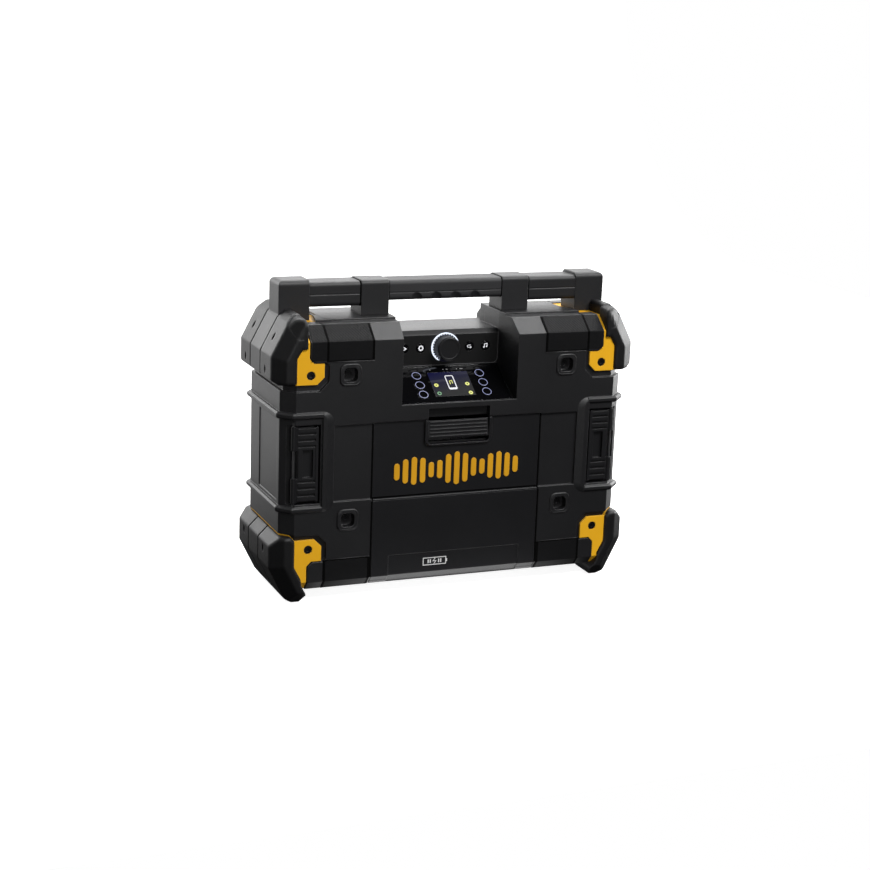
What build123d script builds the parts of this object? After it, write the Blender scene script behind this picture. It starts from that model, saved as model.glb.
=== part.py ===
from build123d import *
import math
import os

os.makedirs("parts", exist_ok=True)

# A jobsite radio built like a stacking tool box. Millimetres, +Z up, front towards -Y, origin on the
# floor under the middle of the case. Points are (y, z) seen from the side, (x, z) seen from the front
# and (x, y) seen from above; outlines of one side are for the right-hand side, +X.

# Housing
half_width = 209.0        # flat sides of the housing
half_depth = 70.0         # flat front and back
base_z = 16.0             # underside of the housing above the floor
top_z = 317.0             # top of the shoulders
front_y = -half_depth
wall = 3.0                # moulded wall
seam_y = 22.0             # joint between front and rear housing
corner_run = 18.0         # the outline is cut at its corners for the guards: across,
lower_rise = 32.0         # up from the underside
upper_drop = 33.0         # and down from the top
edge_run = 14.5           # chamfer of the upright edges: across the front
edge_depth = 15.0         # and along the side
top_chamfer_depth = 20.0  # chamfer of the top edges: front to back
top_chamfer_drop = 16.0
base_chamfer_depth = 9.0
base_chamfer_rise = 10.0
groove_width = 1.8        # scored lines of the housing
groove_depth = 1.6
deck_height = 2.5         # raised deck between hand gap and end cap
deck_half_depth = 35.0
deck_corner = 9.0
boss_radius = 5.0         # screw bosses
far = 400.0               # beyond the whole radio

# Corner guards, yellow brackets and their seats
guard_reach = 12.0        # guards stand out from the sides
guard_proud = 2.0         # and from front and back
guard_x = half_width + guard_reach
guard_y = half_depth + guard_proud
guard_top_z = top_z + 12.5
upper_skirt_z = top_z - 63.5    # lower end of the upper guards
lower_crown_z = base_z + 65.0   # upper end of the lower guards
seat_depth = 4.0          # the housing is set back under bracket and guard
bracket_wall = 3.0
hook_inner_x = half_width - 46.8    # inner edge of the brackets' hooks
hook_height = 23.5
strap_x = half_width - 29.5         # inner edge of the brackets' straps
plate_inner_x = half_width - 56.0   # inner edge of the plate under the end cap
top_plate_half = 33.0
guard_inner_x = half_width - 15.5
rib_half = 18.0           # middle rib of the guards
rib_gap = 2.4             # groove on both sides of it
rib_depth = 7.0
guard_round = 4.0
vent_y = 38.0             # small oval holes in the guards' sides
vent_length = 8.5
vent_width = 4.2
bracket_screw_x = half_width - 31.3
bracket_screw_z = (top_z - 53.2, base_z + 48.7)
screw_radius = 2.0
screw_head_radius = 4.4
screw_head = 2.4

# Handle
bar_top_z = top_z + 41.2
bar_height = 28.2
bar_bottom_z = bar_top_z - bar_height
bar_depth = 35.0
bar_round = 5.0
grip_half = 70.0
grip_lift = 5.0           # the underside of the grip is above that of the bars
groove_pitch = 24.0       # finger grooves in the grip's lower front edge
groove_radius = 10.0
groove_bite = 4.6
post_width = 33.0
post_rise = 1.2           # posts stand a little above the bars
cap_inner_x = half_width - 44.6
cap_outer_x = half_width - 8.7
cap_rise = 3.0
cap_top_z = bar_top_z + cap_rise
cap_round = 6.0
tube_radius = 9.0
tube_wall = 1.5

# Hand gap and display recess
gap_half_front = 70.5     # half width at the front face
gap_half_back = 66.6      # and from the dial panel backwards
gap_step = 11.0           # the gap widens behind the deck
lip_z = top_z - 91.5      # front lip of the recess
panel_foot_y = front_y + 4.0    # foot of the slanted panel
dial_y = front_y + 49.7         # upright dial panel
dial_foot_z = top_z - 60.0      # where slanted and upright panel meet
block_top_z = top_z - 18.0      # top of the block under the grip
block_bevel = 5.0
fascia_wall = 2.5
dial_z = top_z - 37.7
window_margin = 4.5       # housing left under the fascia's rim

# Door
door_half = 102.2
door_top_z = top_z - 110.8
door_gap = 1.0
band_low_z = base_z + 102.5     # the middle band of the front is set back
band_depth = 2.6
band_half = half_width - 59.5
hinge_y = front_y + 12.0
hinge_z = base_z + 8.0
barrel_radius = 8.0
barrel_clearance = 1.0
hinge_pin_radius = 2.0
hinge_pin_length = 14.0
pin_play = 0.06
door_wall = 3.5
door_rib = 2.0            # thickness of the ribs behind the door
door_rib_height = 4.5
frame_width = 8.0
frame_y = front_y + 7.6   # back of the door frame, where the liner is fixed
label_half = 81.4         # sunk label field, down to the underside
label_high_z = base_z + 34.0
label_depth = 0.8

# Door latch tab
tab_half = 37.0
tab_height = 20.2
tab_high_z = door_top_z - 1.5
tab_low_z = tab_high_z - tab_height
tab_travel = 3.5
tab_ribs = 5
tab_side_gap = 0.7
rim_width = 4.0
rim_round = 8.0
rim_low_z = tab_low_z - tab_travel - 1.3 - rim_width
pocket_height = 13.3      # finger pocket above the tab
pocket_top_z = door_top_z + pocket_height
pocket_back_y = front_y + 10.0
pocket_wall = 1.7         # door wall left behind the tab
hook_in_x = 43.0
hook_out_x = 50.0
tab_hook_top_z = door_top_z + 0.3    # just under the lip of the frame
hook_plate = 2.4
frame_lip = 2.8
stem_half = 8.0

# Side latches
latch_pin_x = half_width - 13.4
latch_pin_y = front_y + 3.6
latch_pin_radius = 1.6
latch_pin_end = 3.0       # the pin runs this far into the housing
knuckle_radius = 3.2
latch_low_z = base_z + 102.0
latch_high_z = door_top_z + 2.3
latch_inner_x = half_width - 43.5
latch_floor_y = front_y + 11.0
latch_play = 0.5
latch_pocket_low_z = latch_low_z + 30.0
latch_pocket_high_z = latch_high_z - 28.5
belt_height = 7.4         # the two belts round the sides, joined by the rails beside the latches
belt_low_z = latch_low_z - 9.8
belt_high_z = latch_high_z + 14.2
belt_reach = 4.5
belt_proud = 2.5
belt_soft = 2.0
rail_outer_x = band_half
rail_crest_x = half_width - 50.5
rail_inner_x = half_width - 43.5
rail_round = 12.0
side_inset = 0.8

# Speakers
grille_in_x = door_half + 2.3
grille_out_x = half_width - 51.5
grille_mid_x = (grille_in_x + grille_out_x) / 2
upper_grille_z = top_z - 38.0
lower_grille_z = base_z + 35.0
grille_wall = 2.2
grille_rim = 4.0
slot_width = 1.0
slot_pitch = 3.4
slot_lean = 35.0
driver_radius = 20.0
magnet_radius = 11.0
driver_depth = 24.0
driver_y = front_y + 22.0
upper_driver_z = top_z - 24.5
lower_driver_z = base_z + 25.0
baffle_wall = 3.0

# The housing's own screws, in square-round pockets
pocket_screws = [(grille_mid_x + 1.2, top_z - 53.8), (grille_mid_x + 1.2, base_z + 80.6)]
pocket_size = 16.0
pocket_round = 5.0
pocket_rim = 4.0
pocket_rim_height = 1.3
pocket_floor_y = front_y + 9.0

# Keys, dial and display
key_radius = 5.5
key_inner_x = 30.3
key_outer_x = 50.6
preset_x = 39.1
preset_radius = 6.2
preset_first = 12.6       # from the foot of the slanted panel
preset_pitch = 14.6
key_length = 4.3
key_proud = 0.6
key_flange = 1.1
press_travel = 0.8
key_play = 0.35
knob_radius = 14.0
knob_length = 12.6
knob_lift = 1.5           # between knob and dial panel
light_ring_radius = 17.2
light_ring_height = 1.2
shaft_radius = 3.0
bushing_radius = 4.6
rotor_radius = 6.2
running = 0.05            # radial clearance of a turning shaft
display_half = 24.5
display_low = 9.0         # along the slanted panel
display_high = 46.0
board_wall = 1.6

# Compartment behind the door
bay_half = 96.0
bay_low_z = base_z + 20.0
bay_high_z = door_top_z - 32.2
bay_back_y = 4.0
bay_wall = 2.5
flange_top_z = bay_high_z + 5.0
flange_step_z = bay_low_z + 24.0    # below it the flange keeps clear of the hinge
flange_wall = 2.0
seal_width = 3.0
seal_gap = 0.3
liner_foot = 5.0          # feet between liner and main board
foot_radius = 4.0

# Charger dock, sockets and electrics
dock_x = -45.0
dock_half = 35.0
dock_low_z = bay_low_z + 24.0
dock_height = 80.0
dock_wall = 7.0
dock_rail_depth = 17.0
dock_rail = 8.0
dock_lip = 6.0
contact_low_z = dock_low_z + 58.0
contact_high_z = dock_low_z + 74.0
socket_block = (25.0, 75.0, bay_low_z + 84.0, bay_low_z + 109.0)
data_hole = (33.0, 46.0, bay_low_z + 94.0, bay_low_z + 100.0)
audio_hole_x = 60.0
audio_hole_radius = 1.8
supply_half = 70.0
supply_x = -10.0
supply_height = 58.0
supply_base_z = base_z + base_chamfer_rise + 4.0
supply_fins = 9
vent_rows = 7
vent_low_z = bay_high_z - 24.0
vent_pitch = 9.0
vent_gap = 3.2
vent_half = 60.0
inlet_x = bay_half
inlet_z = base_z + 28.0
inlet_width = 26.0
inlet_height = 18.0
inlet_depth = 18.0


def block(x0, x1, y0, y1, z0, z1):
    """A box given by its lowest and highest corner."""
    centre = ((x0 + x1) / 2, (y0 + y1) / 2, (z0 + z1) / 2)
    return Pos(*centre) * Box(abs(x1 - x0), abs(y1 - y0), abs(z1 - z0))


def drawn(points, inset):
    """A closed outline facing up, drawn in by inset, or let out where inset is negative."""
    outline = Polygon(*points)
    if outline.face().normal_at().Z < 0:
        outline = Polygon(*points[::-1])
    if inset:
        outline = offset(outline, amount=-inset, kind=Kind.INTERSECTION)
    return outline


def along_x(points, x0, x1, inset=0):
    """An outline in (y, z) carried from x0 to x1."""
    plane = Plane((x0, 0, 0), x_dir=(0, 1, 0), z_dir=(1, 0, 0))
    return extrude(plane * drawn(points, inset), amount=x1 - x0)


def along_y(points, y0, y1, inset=0):
    """An outline in (x, z) carried from y0 to y1."""
    plane = Plane((0, y1, 0), x_dir=(1, 0, 0), z_dir=(0, -1, 0))
    return extrude(plane * drawn(points, inset), amount=y1 - y0)


def along_z(points, z0, z1, inset=0):
    """An outline in (x, y) carried from z0 to z1."""
    return extrude(Plane((0, 0, z0)) * drawn(points, inset), amount=z1 - z0)


def rod(start, direction, radius, length):
    """A round rod whose axis starts at a point and runs along a direction."""
    return extrude(Plane(start, z_dir=direction) * Circle(radius), amount=length)


def flipped(part):
    """The left-hand copy of a right-hand part."""
    return mirror(part, about=Plane.YZ)


def turned_back(part):
    """The copy of a front part on the back."""
    return mirror(part, about=Plane.XZ)


def both_sides(part):
    return part + flipped(part)


def four_ways(part):
    """A part of the right front, and its copies at the left and at the back."""
    return both_sides(part + turned_back(part))


def group(solids):
    """Separate solids kept in one node."""
    return Compound(children=[solid for part in solids for solid in part.solids()])


def save(name, part):
    export_step(part, f"parts/{name}.step")


def mirrored_pair(name, part):
    """Writes the right-hand part and its left-hand copy."""
    save("right_" + name, part)
    save("left_" + name, flipped(part))


# ---------------------------------------------------------------- Form of the case
def plan_outline(width, depth):
    """The case seen from above: a rectangle with its four corners cut."""
    right = [
        (width - edge_run, -depth), (width, -depth + edge_depth),
        (width, depth - edge_depth), (width - edge_run, depth),
    ]
    return right + [(-x, y) for x, y in reversed(right)]


def case_form(inset):
    """The housing's outer form, drawn in by inset: its front, side and plan outlines crossed."""
    right = [
        (half_width - corner_run, base_z), (half_width, base_z + lower_rise),
        (half_width, top_z - upper_drop), (half_width - corner_run, top_z),
    ]
    front = right + [(-x, z) for x, z in reversed(right)]
    back = [
        (half_depth - base_chamfer_depth, base_z), (half_depth, base_z + base_chamfer_rise),
        (half_depth, top_z - top_chamfer_drop), (half_depth - top_chamfer_depth, top_z),
    ]
    side = back + [(-y, z) for y, z in reversed(back)]
    form = along_y(front, -far, far, inset) & along_x(side, -far, far, inset)
    return form & along_z(plan_outline(half_width, half_depth), -far, far, inset)


whole_case = case_form(0)
seat_floor = case_form(seat_depth)
bracket_face = case_form(seat_depth - bracket_wall)

# ---------------------------------------------------------------- Slanted and upright panel
panel_run = dial_y - panel_foot_y
panel_climb = dial_foot_z - lip_z
panel_length = math.hypot(panel_run, panel_climb)
up_slope = (panel_run / panel_length, panel_climb / panel_length)
into_panel = (up_slope[1], -up_slope[0])
slant = Plane((0, panel_foot_y, lip_z), x_dir=(1, 0, 0), z_dir=(0, -into_panel[0], -into_panel[1]))
upright = Plane((0, dial_y, dial_z), x_dir=(1, 0, 0), z_dir=(0, -1, 0))


def panel_line(depth):
    """The bent line of both panels at a depth behind their faces, from the foot up to the bevel."""
    foot = (panel_foot_y + depth * into_panel[0], lip_z + depth * into_panel[1])
    bend_y = dial_y + depth
    bend_z = foot[1] + (bend_y - foot[0]) * panel_climb / panel_run
    return [foot, (bend_y, bend_z), (bend_y, block_top_z - block_bevel)]


def recess(grow):
    """The space of display recess and hand gap, let out by grow."""
    side = [(-far, lip_z), (panel_foot_y, lip_z)] + panel_line(fascia_wall) + [
        (dial_y, block_top_z - block_bevel), (dial_y + block_bevel, block_top_z),
        (half_depth - top_chamfer_depth, block_top_z), (half_depth, block_top_z - top_chamfer_drop),
        (far, block_top_z - top_chamfer_drop), (far, far), (-far, far),
    ]
    plan = [
        (gap_half_front, -far), (gap_half_front, front_y), (gap_half_back, dial_y),
        (gap_half_back, deck_half_depth), (gap_half_back + gap_step, deck_half_depth),
        (gap_half_back + gap_step, far),
    ]
    plan += [(-x, y) for x, y in reversed(plan)]
    return along_x(side, -far, far, -grow) & along_z(plan, -far, far, -grow)


# ---------------------------------------------------------------- Seats of the corner pieces
hook_corner = 8.0
hook_notch = 5.5          # slanted corner where strap and hook meet
upper_notch_z = upper_skirt_z + hook_height
lower_hook_z = lower_crown_z - 5.0
lower_notch_z = lower_hook_z - 25.5
upper_hook = [
    (far, upper_skirt_z), (hook_inner_x + hook_corner, upper_skirt_z),
    (hook_inner_x, upper_skirt_z + hook_corner), (hook_inner_x, upper_notch_z),
    (strap_x - hook_notch, upper_notch_z), (strap_x, upper_notch_z + hook_notch), (strap_x, far), (far, far),
]
lower_hook = [
    (far, -far), (strap_x, -far), (strap_x, lower_notch_z - hook_notch),
    (strap_x - hook_notch, lower_notch_z), (hook_inner_x, lower_notch_z),
    (hook_inner_x, lower_hook_z - hook_corner), (hook_inner_x + hook_corner, lower_hook_z),
    (guard_inner_x, lower_hook_z), (guard_inner_x + 5, lower_crown_z + 1), (far, lower_crown_z + 1),
]
hook_clearance = 1.0
channel = 5.5             # open channel round the hooks
channel_corner = 10.5
upper_seat = [
    (far, upper_skirt_z - channel - 2), (hook_inner_x - channel + channel_corner, upper_skirt_z - channel - 2),
    (hook_inner_x - channel, upper_skirt_z - channel - 2 + channel_corner),
    (hook_inner_x - channel, upper_notch_z - 2.5), (hook_inner_x - 2, upper_notch_z + hook_clearance),
    (strap_x - hook_notch - 0.5, upper_notch_z + hook_clearance),
    (strap_x - hook_clearance, upper_notch_z + hook_notch + 0.5), (strap_x - hook_clearance, far), (far, far),
]
lower_seat = [
    (far, -far), (strap_x - hook_clearance, -far), (strap_x - hook_clearance, lower_notch_z - hook_notch - 0.5),
    (strap_x - hook_notch - 0.5, lower_notch_z - hook_clearance), (hook_inner_x - 2, lower_notch_z - hook_clearance),
    (hook_inner_x - channel, lower_notch_z + 2.5),
    (hook_inner_x - channel, lower_hook_z + channel - channel_corner),
    (hook_inner_x - channel + channel_corner, lower_hook_z + channel), (guard_inner_x, lower_hook_z + channel),
    (guard_inner_x + 2, lower_crown_z + 2), (far, lower_crown_z + 2),
]


def seat_prism(points, grow):
    """The corner region in the front outline, let out by grow."""
    return along_y(points, -far, far, -grow)


def seats(grow):
    """What is taken off the case at its corners, with walls of grow behind."""
    floor = case_form(seat_depth + grow)
    plate = block(
        plate_inner_x - hook_clearance - grow, far, -top_plate_half - 1 - grow, top_plate_half + 1 + grow,
        top_z - seat_depth - grow, far,
    )
    region = seat_prism(upper_seat, grow) + seat_prism(lower_seat, grow) + plate
    return both_sides(region - floor)


# ---------------------------------------------------------------- Belts and latch frames
def belt(low, high):
    """One soft-edged belt round the case."""
    ring = along_z(plan_outline(half_width + belt_reach, half_depth + belt_proud), low, high)
    return chamfer(ring.edges().group_by(Axis.Z)[0] + ring.edges().group_by(Axis.Z)[-1], belt_soft)


def rail(outer_x, low, high, corner, y):
    """The outline of a latch frame in the plane at y; its right half lies beyond the case."""
    width = 2 * (half_width - outer_x)
    plane = Plane((half_width, y, (low + high) / 2), x_dir=(1, 0, 0), z_dir=(0, -1, 0))
    return plane * RectangleRounded(width, high - low, corner)


def belts():
    """Two belts round the sides, joined on the front by the sloping rails of the latch frames."""
    pair = belt(belt_low_z, belt_low_z + belt_height) + belt(belt_high_z - belt_height, belt_high_z)
    start = rail_outer_x + rail_round + 1
    beyond_rails = block(start, far, -far, 0, -far, far) + block(rail_outer_x, far, 0, far, -far, far)
    foot = rail(rail_outer_x, belt_low_z, belt_high_z, rail_round, front_y + 0.2)
    crest = rail(rail_crest_x, belt_low_z + belt_soft, belt_high_z - belt_soft, rail_round - 3,
                 front_y - belt_proud)
    frame = loft([foot, crest]) & block(0, start + 1, -far, far, -far, far)
    window = rail(rail_inner_x, belt_low_z + belt_height, belt_high_z - belt_height, 3, front_y + 1)
    return both_sides((pair & beyond_rails) + (frame - extrude(window, amount=far)))


# ---------------------------------------------------------------- Housing
def latch_pocket(grow):
    """The pocket of a side latch in the corner of the front, let out by grow."""
    return block(
        latch_inner_x - grow, latch_pin_x + 6.9, -far, latch_floor_y + grow,
        latch_low_z - grow, latch_high_z + grow,
    )


def grille_region(low, high, rim):
    """The part of the front and of one chamfer that a grille covers, less a rim."""
    back = -half_depth + top_chamfer_depth - rim
    return block(grille_in_x + rim, grille_out_x - rim, -far, back, low, high)


def grille_regions(rim):
    upper = grille_region(upper_grille_z + rim, far, rim)
    lower = grille_region(-far, lower_grille_z - rim, rim)
    return both_sides(upper + lower)


def driver_plane(z, lift):
    """The plane of a speaker driver: lift 1 faces up and forwards, -1 down and forwards."""
    return Plane((grille_mid_x, driver_y, z), x_dir=(1, 0, 0), z_dir=(0, -1, lift))


driver_places = [(upper_driver_z, 1), (lower_driver_z, -1)]


def baffles():
    """Slanted boards that close the corners behind the grilles and carry the drivers."""
    width = grille_out_x - grille_in_x + 2 * wall
    plates = Part()
    for z, lift in driver_places:
        plate = driver_plane(z, lift) * Pos(0, 0, baffle_wall / 2) * Box(width, half_depth + 10, baffle_wall)
        hole = driver_plane(z, lift) * Cylinder(driver_radius - 2.5, 3 * baffle_wall)
        plates += (plate & case_form(wall - 0.5)) - hole
    return both_sides(plates)


def screw_pockets():
    """Square-round pockets of the housing screws."""
    cuts = Part()
    for x, z in pocket_screws:
        plane = Plane((x, pocket_floor_y, z), x_dir=(1, 0, 0), z_dir=(0, -1, 0))
        cuts += extrude(plane * RectangleRounded(pocket_size, pocket_size, pocket_round), amount=far)
        cuts += rod((x, pocket_floor_y, z), (0, 1, 0), screw_radius, half_depth - pocket_floor_y - 2 * wall)
    return both_sides(cuts)


def screw_rings():
    """Soft raised rims round the screw pockets."""
    rims = Part()
    size = pocket_size + 2 * pocket_rim
    for x, z in pocket_screws:
        plane = Plane((x, front_y + 1, z), x_dir=(1, 0, 0), z_dir=(0, -1, 0))
        rim = extrude(plane * RectangleRounded(size, size, pocket_round + pocket_rim), amount=pocket_rim_height + 1)
        rims += fillet(rim.edges().group_by(Axis.Y)[0], pocket_rim_height - 0.1)
    return both_sides(rims)


def kept_solid():
    """What stays solid inside the case: walls behind recesses, bosses, baffles and the door frame."""
    side_frame = block(
        door_half + door_gap, door_half + door_gap + frame_width, -half_depth, frame_y,
        base_z, door_top_z + door_gap + frame_width,
    )
    lug = block(
        door_half + door_gap, door_half + door_gap + frame_width, -half_depth,
        hinge_y + barrel_radius + wall, base_z, hinge_z + barrel_radius + wall,
    )
    band = block(0, frame_inner_edge, front_y, front_y + wall + band_depth, band_low_z - wall,
                 door_top_z + wall)
    top_frame = block(
        0, door_half + frame_width, front_y, frame_y - 1.9, door_top_z + door_gap,
        door_top_z + door_gap + frame_lip,
    )
    seat = rod((0, hinge_y, hinge_z), (1, 0, 0), barrel_radius + barrel_clearance + wall, door_half + wall)
    seat &= block(0, far, -far, far, -far, bay_low_z - bay_wall - 0.3)
    finger = block(0, tab_half + tab_side_gap + wall, front_y, pocket_back_y + wall, door_top_z + door_gap,
                   pocket_top_z + wall)
    solid = side_frame + lug + band + top_frame + seat + finger + latch_pocket(wall)
    for x, z in pocket_screws:
        size = pocket_size + 2 * wall
        solid += block(x - size / 2, x + size / 2, -half_depth, pocket_floor_y + wall, z - size / 2, z + size / 2)
        solid += rod((x, -half_depth, z), (0, 1, 0), boss_radius, 2 * half_depth)
    for z in bracket_screw_z:
        solid += rod((bracket_screw_x, -half_depth, z), (0, 1, 0), boss_radius, 16)
        solid += rod((bracket_screw_x, half_depth, z), (0, -1, 0), boss_radius, 16)
    shell = grille_regions(-wall) - case_form(grille_wall + 2.4)
    return both_sides(solid) + shell + baffles() + recess(wall) + seats(wall)


frame_inner_edge = rail_inner_x


def hollow():
    """The hollow of the case."""
    return case_form(wall) - kept_solid()


def windows():
    """Openings in the housing behind the control fascia."""
    line = panel_line(fascia_wall)
    low = window_margin
    high = panel_length - window_margin
    height = high - low
    cut = slant * Pos(0, (low + high) / 2, -fascia_wall - wall / 2 - 0.5) * Box(
        2 * (gap_half_back - window_margin), height, wall + 1.2
    )
    top = block_top_z - block_bevel - window_margin
    foot = line[1][1] + window_margin
    return cut + block(
        -gap_half_back + window_margin, gap_half_back - window_margin,
        dial_y + fascia_wall - 0.1, dial_y + fascia_wall + wall + 0.6, foot, top,
    )


def scored_lines():
    """Scored lines beside the grilles and under the ends of the middle band."""
    x = grille_out_x + 1.2
    upper = block(x, x + groove_width, -far, -top_plate_half - 4, upper_notch_z, far)
    lower = block(x, x + groove_width, -far, front_y + 12, -far, lower_notch_z)
    return four_ways(upper + lower) - case_form(groove_depth)


def vents():
    """Air slots of the charger in the back."""
    slots = Part()
    for row in range(vent_rows):
        z = vent_low_z + vent_pitch * row
        slots += block(-vent_half, vent_half, half_depth - 2 * wall, far, z, z + vent_gap)
    return slots


def latch_pin():
    """The upright pin of the right latch."""
    length = latch_high_z - latch_low_z + 2 * latch_pin_end
    return rod((latch_pin_x, latch_pin_y, latch_low_z - latch_pin_end), (0, 0, 1), latch_pin_radius, length)


def housing():
    """The whole shell, before it is parted at the seam."""
    deck_end = plate_inner_x - 1.5
    front_edge = [(0, -deck_half_depth), (deck_end - deck_corner, -deck_half_depth),
                  (deck_end, -deck_half_depth + deck_corner)]
    deck = along_z(front_edge + [(x, -y) for x, y in reversed(front_edge)], top_z - 1, top_z + deck_height)
    solid = whole_case + belts() + both_sides(deck) + screw_rings()
    solid -= recess(0)
    solid -= seats(0)
    solid -= hollow()
    solid -= windows()
    band_cut = block(-band_half, band_half, -far, front_y + band_depth, band_low_z, door_top_z)
    solid -= band_cut
    opening = block(
        -door_half - door_gap, door_half + door_gap, -far, hinge_y, -far, door_top_z + door_gap
    )
    solid -= opening
    solid -= rod(
        (-door_half - door_gap, hinge_y, hinge_z), (1, 0, 0), barrel_radius + barrel_clearance,
        2 * (door_half + door_gap),
    )
    half_pocket = tab_half + tab_side_gap
    solid -= block(-half_pocket, half_pocket, -far, pocket_back_y, door_top_z, pocket_top_z)
    solid -= both_sides(latch_pocket(0))
    solid -= both_sides(latch_pin())
    solid -= both_sides(rod((door_half, hinge_y, hinge_z), (1, 0, 0), hinge_pin_radius,
                            door_gap + hinge_pin_length / 2))
    solid -= grille_regions(0) - case_form(grille_wall)
    solid -= grille_regions(grille_rim) - case_form(grille_wall + 2.5)
    solid -= scored_lines()
    solid -= screw_pockets()
    inset = block(
        half_width - side_inset, half_width, front_y + edge_depth + 8, seam_y - 1.5,
        belt_low_z + belt_height + 4, belt_high_z - belt_height - 4,
    )
    solid -= both_sides(inset)
    holes = Part()
    for z in bracket_screw_z:
        holes += rod((bracket_screw_x, -half_depth, z), (0, 1, 0), screw_radius, 15)
    solid -= four_ways(holes)
    solid -= vents()
    solid -= block(
        inlet_x - inlet_width / 2, inlet_x + inlet_width / 2, half_depth - 2 * wall, far,
        inlet_z - inlet_height / 2, inlet_z + inlet_height / 2,
    )
    return solid


shell = housing()
save("front_housing", shell & block(-far, far, -far, seam_y, -far, far))
save("rear_housing", shell & block(-far, far, seam_y, far, -far, far))


# ---------------------------------------------------------------- Yellow corner brackets
def bracket(outline, top_plate):
    """A strap bent round the corner from front to back, with a hook at each end."""
    region = seat_prism(outline, 0)
    if top_plate:
        region += block(plate_inner_x, far, -top_plate_half, top_plate_half, top_z - seat_depth, far)
    shell = (bracket_face & region) - seat_floor
    for z in bracket_screw_z:
        shell -= rod((bracket_screw_x, -far, z), (0, 1, 0), screw_head_radius + 0.6, 2 * far)
    return shell


mirrored_pair("upper_bracket", bracket(upper_hook, True))
mirrored_pair("lower_bracket", bracket(lower_hook, False))


def bracket_screw(z):
    """A socket-head screw that holds a bracket hook to the front."""
    floor = -half_depth + seat_depth
    head = rod((bracket_screw_x, floor, z), (0, -1, 0), screw_head_radius, screw_head)
    head -= rod((bracket_screw_x, floor - screw_head, z), (0, 1, 0), screw_head_radius / 2, screw_head / 2)
    return head + rod((bracket_screw_x, floor, z), (0, 1, 0), screw_radius, 11)


screws = [bracket_screw(z) for z in bracket_screw_z]
screws += [turned_back(screw) for screw in screws]
save("bracket_screws", group(screws + [flipped(screw) for screw in screws]))

housing_screws = []
for x, z in pocket_screws:
    head = rod((x, pocket_floor_y, z), (0, -1, 0), screw_head_radius, screw_head)
    head -= rod((x, pocket_floor_y - screw_head, z), (0, 1, 0), screw_head_radius / 2, screw_head / 2)
    screw = head + rod((x, pocket_floor_y, z), (0, 1, 0), screw_radius, half_depth - pocket_floor_y - 3 * wall)
    housing_screws += [screw, flipped(screw)]
save("housing_screws", group(housing_screws))

# ---------------------------------------------------------------- Corner guards
slope_top = (half_width - 7, top_z + 4.5)
slope_foot = (guard_x, top_z - 32)
lower_slope_top = (guard_x, base_z + 28)
lower_slope_foot = (half_width - 7, base_z - 10)
guard_edge_run = 15.0
guard_edge_depth = 12.5
crown_half = half_width - 25     # inner edge of the guards on the chamfers
upper_guard = [
    (guard_inner_x, upper_skirt_z), (guard_x - 8, upper_skirt_z), (guard_x, upper_skirt_z + 5),
    slope_foot, slope_top, (slope_top[0] - 8, guard_top_z), (crown_half, guard_top_z),
    (crown_half, top_z - 19), (guard_inner_x, top_z - 34),
]
lower_guard = [
    (guard_inner_x, lower_hook_z), (guard_inner_x + 5, lower_crown_z), (half_width + 1, lower_crown_z),
    (guard_x, lower_crown_z - 11), lower_slope_top, lower_slope_foot, (half_width - 16, 0.0),
    (crown_half, 0.0), (half_width - 30, 11.0), (crown_half + 2, base_z + 8),
    (crown_half + 2, base_z + 15), (guard_inner_x, base_z + 29),
]
upper_guard_side = [(guard_y, 0), (guard_y, top_z - 12), (guard_y - 21, guard_top_z)]
lower_guard_side = [(guard_y, top_z), (guard_y, base_z - 1), (guard_y - 15, 0)]


def sloped_edges(foot, top, inset):
    """A bar along the guard's slope whose front and back edges carry the same chamfer as the uprights."""
    run, climb = top[0] - foot[0], top[1] - foot[1]
    length = math.hypot(run, climb)
    outward = (abs(climb) / length, 0, (abs(run) if climb * run < 0 else -abs(run)) / length)
    plane = Plane((foot[0], 0, foot[1]), x_dir=outward, z_dir=(run / length, 0, climb / length))
    right = [(-far, -guard_y), (-guard_edge_run, -guard_y), (0, -guard_y + guard_edge_depth)]
    outline = right + [(x, -y) for x, y in reversed(right)]
    face = plane * drawn(outline, inset)
    return extrude(face, amount=far) + extrude(face, amount=-far)


def guard_form(front, side, foot, top, inset=0):
    """A guard's outer form: front, side and plan outline and the chamfers of its slope, crossed."""
    plan = [
        (100, -guard_y), (guard_x - guard_edge_run, -guard_y), (guard_x, -guard_y + guard_edge_depth),
        (guard_x, guard_y - guard_edge_depth), (guard_x - guard_edge_run, guard_y), (100, guard_y),
    ]
    form = along_y(front, -far, far, inset)
    form &= along_x(side + [(-y, z) for y, z in reversed(side)], 100, far, inset)
    form &= along_z(plan, -far, far, inset)
    return form & sloped_edges(foot, top, inset)


def upper_form(inset):
    return guard_form(upper_guard, upper_guard_side, slope_foot, slope_top, inset)


def lower_form(inset):
    return guard_form(lower_guard, lower_guard_side, lower_slope_top, lower_slope_foot, inset)


def guard_holes(heights):
    """Small oval holes in the guards' sides."""
    holes = Part()
    for z in heights:
        plane = Plane((guard_x - 4, vent_y, z), x_dir=(0, 0, 1), z_dir=(1, 0, 0))
        holes += extrude(plane * SlotOverall(vent_length, vent_width), amount=far)
    return holes + turned_back(holes)


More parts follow.
